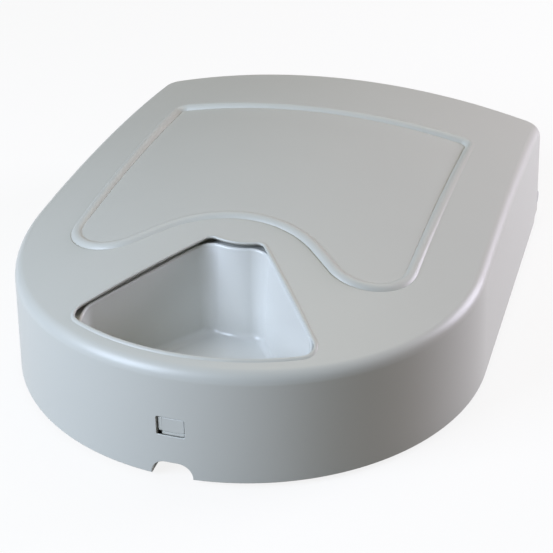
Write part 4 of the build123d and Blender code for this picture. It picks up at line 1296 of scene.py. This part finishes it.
def make_materials(casing, tray):
    """One material for every slot; the two main plastics take the colours chosen in the panel."""
    MATERIALS.update(
        {
            # Satin ABS straight from a spark-eroded mould: a soft even highlight over a fine grain
            "casing_plastic": moulded("satin_abs", (*casing, 1.0), 0.37, 1.2, 0.012, 0.012),
            # Polished polypropylene, smooth so that food wipes off: tighter highlights than the lid's
            "tray_plastic": moulded("polished_polypropylene", (*tray, 1.0), 0.23, 2.0, 0.005, 0.012),
            # The same ABS with a coarser grain, which looks flatter
            "base_plastic": moulded("grained_abs", linear("#C2C4C1"), 0.5, 1.6, 0.02, 0.015),
            # Darker grained ABS round the display: a matt field that the buttons stand out from
            "control_plastic": moulded("control_abs", linear("#8E9294"), 0.48, 1.4, 0.02, 0.02),
            # Silicone rubber, moulded matt: no clear highlight, only a wide soft one
            "button_rubber": moulded("silicone_rubber", linear("#5B6266"), 0.62, 1.5, 0.02, 0.02, 0.35),
            # Clear acrylic window, smoked, which shows the dark display behind it
            "display_glass": moulded("smoked_acrylic", linear("#20272A"), 0.12, 3.0, 0.0, 0.02),
            # Reflective liquid-crystal panel: grey-green with a dull gloss
            "display_dark": moulded("display_panel", linear("#5C6A5C"), 0.3, 2.0, 0.0, 0.03),
            # Glass-fibre board under green solder resist: gloss with the weave just showing
            "board": moulded("green_solder_resist", linear("#1F5A38"), 0.35, 0.8, 0.02, 0.08),
            # Acetal, machined white: waxy, with a soft highlight
            "gear_plastic": moulded("acetal", linear("#DEDDD6"), 0.38, 1.0, 0.008, 0.02),
            # Zinc-plated steel: bright grey with fine lines
            "steel": metal("zinc_plated_steel", linear("#B9BCBE"), 0.34, 0.9),
            # Nickel-plated spring strip: warmer and smoother than the steel
            "spring_steel": metal("nickel_plated_spring_steel", linear("#C7C3B8"), 0.26, 0.6),
            # Turned brass: yellow, with the tool's marks
            "brass": metal("turned_brass", linear("#C9A55C"), 0.3, 0.5),
            # Natural rubber feet: matt and dark, so they barely shine
            "foot_rubber": moulded("foot_rubber", linear("#3A3B3C"), 0.75, 1.0, 0.04, 0.04, 0.3),
            # Printed shrink film on the cells: smooth with a clear highlight
            "cell_jacket": moulded("shrink_film", linear("#4C5F78"), 0.25, 4.0, 0.004, 0.03),
            # Black phenolic of the switches: fine matt
            "switch_plastic": moulded("black_phenolic", linear("#26282A"), 0.5, 0.8, 0.01, 0.04),
        }
    )


# Settings


def length(name, description, default, low, high):
    """Length setting, given in millimetres."""
    span = {"default": default * MM, "min": low * MM, "max": high * MM}
    return FloatProperty(name=name, description=description, unit="LENGTH", **span)


def power(name, description, default):
    """Power setting of a light."""
    return FloatProperty(name=name, description=description, default=default, min=0.0, unit="POWER")


def colour(name, description, value):
    """Colour setting, given as an sRGB hex colour."""
    span = {"size": 3, "min": 0.0, "max": 1.0, "subtype": "COLOR"}
    return FloatVectorProperty(name=name, description=description, default=linear(value)[:3], **span)


class FeederLooks(bpy.types.PropertyGroup):
    """Sizes and colours of the feeder's own pieces."""

    edge_round: length("Top edge radius", "Round edge between the lid's top and its skirt", 8.5, 4, 12)
    lip_height: length("Lip height", "How far the opening's lip stands above the lid's top", LIP_HEIGHT, 0, 1)
    arris: length("Broken arris", "Width of the small bevel on the base's moulded edges", 0.35, 0, 0.6)
    casing_colour: colour("Casing colour", "Colour of the lid and the latch lever", "#C7C8C1")
    tray_colour: colour("Tray colour", "Colour of the meal tray", "#DADBD7")


class StageLooks(bpy.types.PropertyGroup):
    """Light and camera round the feeder."""

    key_power: power("Key light", "Power of the large soft light on the left", 26.0)
    side_power: power("Side light", "Power of the soft light on the right", 17.0)
    top_power: power("Top light", "Power of the soft light above and behind the feeder", 4.6)
    lens: FloatProperty(
        name="Lens",
        description="Focal length in millimetres for a sensor 36 mm wide",
        default=99.62,
        min=20.0,
        max=300.0,
    )


# Operators


class FEEDER_OT_lid(bpy.types.Operator):
    """Build the lid with its crowned top, fan-shaped panel, opening and skirt"""

    bl_idname = "feeder.lid"
    bl_label = "Lid"

    def execute(self, context):
        looks = context.scene.feeder_looks
        made = lid_shape(looks.edge_round / MM, looks.lip_height / MM).piece("lid_moulding")
        finished(made, "casing_plastic", "lid", "lid_shell")
        return {"FINISHED"}


class FEEDER_OT_tray(bpy.types.Operator):
    """Build the meal tray from copies of one sector, with its rim and hub"""

    bl_idname = "feeder.tray"
    bl_label = "Meal tray"

    def execute(self, context):
        sector = tray_sector().piece("tray_sector")
        turns = [2 * HALF_SECTOR * k for k in range(MEALS)]
        sectors = copies("tray_sectors", sector, [(0, 0, 0)] * MEALS, MATERIALS["tray_plastic"], turns)
        middle = Shape()
        tray_rim(middle)
        tray_hub(middle)
        made = joined("tray_moulding", [sectors, middle.piece("tray_middle")])
        finished(made, "tray_plastic", "turntable", "meal_tray")
        return {"FINISHED"}


class FEEDER_OT_base(bpy.types.Operator):
    """Finish the base's shell, floor and battery doors, and set its screws and feet"""

    bl_idname = "feeder.base"
    bl_label = "Base"

    def execute(self, context):
        arris = context.scene.feeder_looks.arris / MM
        dress(arris, "base_shell", "base_floor", "battery_door_left", "battery_door_right")
        screw = floor_screw().piece("floor_screw")
        places = [(x, y, SCREW_Z) for x, y in SCREW_POINTS]
        made = copies("screw_copies", screw, places, MATERIALS["steel"])
        finished(made, "steel", "base", "floor_screws")
        foot = rubber_foot().piece("rubber_foot")
        places = [(x, y, 0) for x, y in FOOT_POINTS]
        made = copies("foot_copies", foot, places, MATERIALS["foot_rubber"])
        finished(made, "foot_rubber", "base", "rubber_feet")
        return {"FINISHED"}


class FEEDER_OT_controls(bpy.types.Operator):
    """Finish the control plate with its lens, display and four buttons"""

    bl_idname = "feeder.controls"
    bl_label = "Controls"

    def execute(self, context):
        arris = context.scene.feeder_looks.arris / MM
        dress(arris, "control_plate", "clock_button", "meal_button", "down_button", "up_button")
        dress(0, "display_lens", "display_module")
        return {"FINISHED"}


class FEEDER_OT_latch(bpy.types.Operator):
    """Finish the latch with its thumb face, pin and spring, and the hinge pins"""

    bl_idname = "feeder.latch"
    bl_label = "Latch and hinge"

    def execute(self, context):
        dress(0, "latch_lever")
        finished(latch_face().piece("latch_thumb_face"), "casing_plastic", "latch")
        dress(0, "latch_pin", "latch_spring")
        dress(context.scene.feeder_looks.arris / MM, "hinge_pins")
        return {"FINISHED"}


class FEEDER_OT_drive(bpy.types.Operator):
    """Finish the motor, the gears, the hub and the parts that stop the tray at each meal"""

    bl_idname = "feeder.drive"
    bl_label = "Drive"

    def execute(self, context):
        dress(0, "drive_motor", "motor_pinion", "reduction_gear", "idler_axle", "drive_gear")
        dress(0, "index_magnets", "index_sensor", "drive_hub", "hub_bearing")
        return {"FINISHED"}


class FEEDER_OT_power(bpy.types.Operator):
    """Finish the battery cells, their contacts, the circuit board and its switches"""

    bl_idname = "feeder.power"
    bl_label = "Power and board"

    def execute(self, context):
        dress(0, "battery_cells", "battery_contacts", "circuit_board", "tact_switches")
        return {"FINISHED"}


class FEEDER_OT_stage(bpy.types.Operator):
    """Set the floor, the lights, the world and the camera"""

    bl_idname = "feeder.stage"
    bl_label = "Stage"

    def execute(self, context):
        looks = context.scene.stage_looks
        make_floor()
        make_world(context.scene)
        for light, watts in zip(LIGHTS, (looks.key_power, looks.side_power, looks.top_power)):
            area_light(watts, *light)
        make_camera(context.scene, looks.lens)
        context.scene.view_settings.view_transform = "Standard"
        return {"FINISHED"}


# Stage

# Lights: name, azimuth from the front towards the right, elevation, distance and size in metres, colour
LIGHTS = (
    ("key_light", -40, 30, 1.5, 0.8, "#D9E8FF"),
    ("side_light", 128, 18, 1.4, 0.7, "#F0ECFF"),
    ("top_light", 170, 68, 1.6, 1.0, "#FFF1CC"),
)
TARGET = Vector((0.0, 30.49, 36.30)) * MM
CAMERA_PLACE = Vector((271.5, -785.7, 541.3)) * MM
CAMERA_ROLL = math.radians(-1.083)
CAMERA_SHIFT = (0.0140, -0.0096)
FLOOR_GLOW = 0.86
WORLD_FILL = 0.165
FLOOR_REACH = 3.0


def seen_by(tree, *rays):
    """Socket that is 1 for any of these kinds of ray."""
    path = node(tree, "ShaderNodeLightPath").outputs
    seen = path[rays[0]]
    for ray in rays[1:]:
        seen = node(tree, "ShaderNodeMath", {"operation": "MAXIMUM"}, {0: seen, 1: path[ray]}).outputs[0]
    return seen


def make_floor():
    """Pale floor: near white, with the feeder's shadow, where it is seen, and duller to what it lights."""
    corners = [(x * FLOOR_REACH, y * FLOOR_REACH, 0) for x, y in ((-1, -1), (1, -1), (1, 1), (-1, 1))]
    mesh = bpy.data.meshes.new("floor")
    mesh.from_pydata(corners, [], [(0, 1, 2, 3)])
    floor = link("floor", mesh)
    paint = bpy.data.materials.new("pale_floor")
    paint.use_nodes = True
    tree = paint.node_tree
    tree.nodes.clear()
    shadowed = node(tree, "ShaderNodeBsdfDiffuse", inputs={"Color": linear("#F4F4F3")})
    white = node(tree, "ShaderNodeEmission", inputs={"Strength": 1.0})
    shown = {0: FLOOR_GLOW, 1: shadowed.outputs[0], 2: white.outputs[0]}
    shown = node(tree, "ShaderNodeMixShader", inputs=shown)
    dull = node(tree, "ShaderNodeBsdfDiffuse", inputs={"Color": linear("#847C72")})
    seen = seen_by(tree, "Is Camera Ray", "Is Glossy Ray", "Is Transmission Ray")
    either = {0: seen, 1: dull.outputs[0], 2: shown.outputs[0]}
    either = node(tree, "ShaderNodeMixShader", inputs=either)
    node(tree, "ShaderNodeOutputMaterial", inputs={"Surface": either.outputs[0]})
    mesh.materials.append(paint)


def make_world(scene):
    """White backdrop where it is seen, and a soft warm grey that fills the shadows."""
    world = bpy.data.worlds.new("studio")
    world.use_nodes = True
    tree = world.node_tree
    tree.nodes.clear()
    fill = node(tree, "ShaderNodeBackground", inputs={"Color": linear("#E8DFCF"), "Strength": WORLD_FILL})
    white = node(tree, "ShaderNodeBackground", inputs={"Color": (1.0, 1.0, 1.0, 1.0), "Strength": 1.0})
    seen = seen_by(tree, "Is Camera Ray", "Is Transmission Ray")
    mixed = {0: seen, 1: fill.outputs[0], 2: white.outputs[0]}
    mixed = node(tree, "ShaderNodeMixShader", inputs=mixed)
    node(tree, "ShaderNodeOutputWorld", inputs={"Surface": mixed.outputs[0]})
    scene.world = world


def area_light(watts, name, azimuth, elevation, distance, size, shade):
    """Square soft light that faces the feeder."""
    turn, rise = math.radians(azimuth), math.radians(elevation)
    way = Vector((math.sin(turn) * math.cos(rise), -math.cos(turn) * math.cos(rise), math.sin(rise)))
    lamp = bpy.data.lights.new(name, "AREA")
    lamp.energy = watts
    lamp.size = size
    lamp.color = linear(shade)[:3]
    made = bpy.data.objects.new(name, lamp)
    made.location = TARGET + distance * way
    made.rotation_euler = way.to_track_quat("Z", "Y").to_euler()
    bpy.context.scene.collection.objects.link(made)


def make_camera(scene, lens):
    """Camera at the photograph's angle."""
    back = (CAMERA_PLACE - TARGET).normalized()
    right = Vector((0, 0, 1)).cross(back).normalized()
    up = back.cross(right)
    turned_right = math.cos(CAMERA_ROLL) * right + math.sin(CAMERA_ROLL) * up
    turned_up = math.cos(CAMERA_ROLL) * up - math.sin(CAMERA_ROLL) * right
    view = Matrix((turned_right, turned_up, back)).transposed().to_4x4()
    view.translation = CAMERA_PLACE
    camera = bpy.data.cameras.new("camera")
    camera.lens = lens
    camera.shift_x, camera.shift_y = CAMERA_SHIFT
    made = bpy.data.objects.new("camera", camera)
    made.matrix_world = view
    scene.collection.objects.link(made)
    scene.camera = made


# Panel and registration


class FEEDER_PT_panel(bpy.types.Panel):
    """Lists the feeder's pieces in the order in which they are built"""

    bl_idname = "FEEDER_PT_panel"
    bl_label = "Five-meal feeder"
    bl_space_type = "VIEW_3D"
    bl_region_type = "UI"
    bl_category = "Feeder"

    def draw(self, context):
        for group in (context.scene.feeder_looks, context.scene.stage_looks):
            for name in group.__annotations__:
                self.layout.prop(group, name)
        for operator in OPERATORS:
            self.layout.operator(operator.bl_idname)


OPERATORS = (
    FEEDER_OT_lid,
    FEEDER_OT_tray,
    FEEDER_OT_base,
    FEEDER_OT_controls,
    FEEDER_OT_latch,
    FEEDER_OT_drive,
    FEEDER_OT_power,
    FEEDER_OT_stage,
)
CLASSES = (FeederLooks, StageLooks, *OPERATORS, FEEDER_PT_panel)


def register():
    for cls in CLASSES:
        bpy.utils.register_class(cls)
    bpy.types.Scene.feeder_looks = PointerProperty(type=FeederLooks)
    bpy.types.Scene.stage_looks = PointerProperty(type=StageLooks)


def unregister():
    del bpy.types.Scene.stage_looks
    del bpy.types.Scene.feeder_looks
    for cls in reversed(CLASSES):
        bpy.utils.unregister_class(cls)


def main():
    """Registers the feeder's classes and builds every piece."""
    register()
    looks = bpy.context.scene.feeder_looks
    make_materials(tuple(looks.casing_colour), tuple(looks.tray_colour))
    for name, part in NODES.items():
        part.data.materials.clear()
        part.data.materials.append(MATERIALS[SLOTS[name]])
    bpy.ops.feeder.lid()
    bpy.ops.feeder.tray()
    bpy.ops.feeder.base()
    bpy.ops.feeder.controls()
    bpy.ops.feeder.latch()
    bpy.ops.feeder.drive()
    bpy.ops.feeder.power()
    bpy.ops.feeder.stage()


if __name__ == "__main__":
    main()
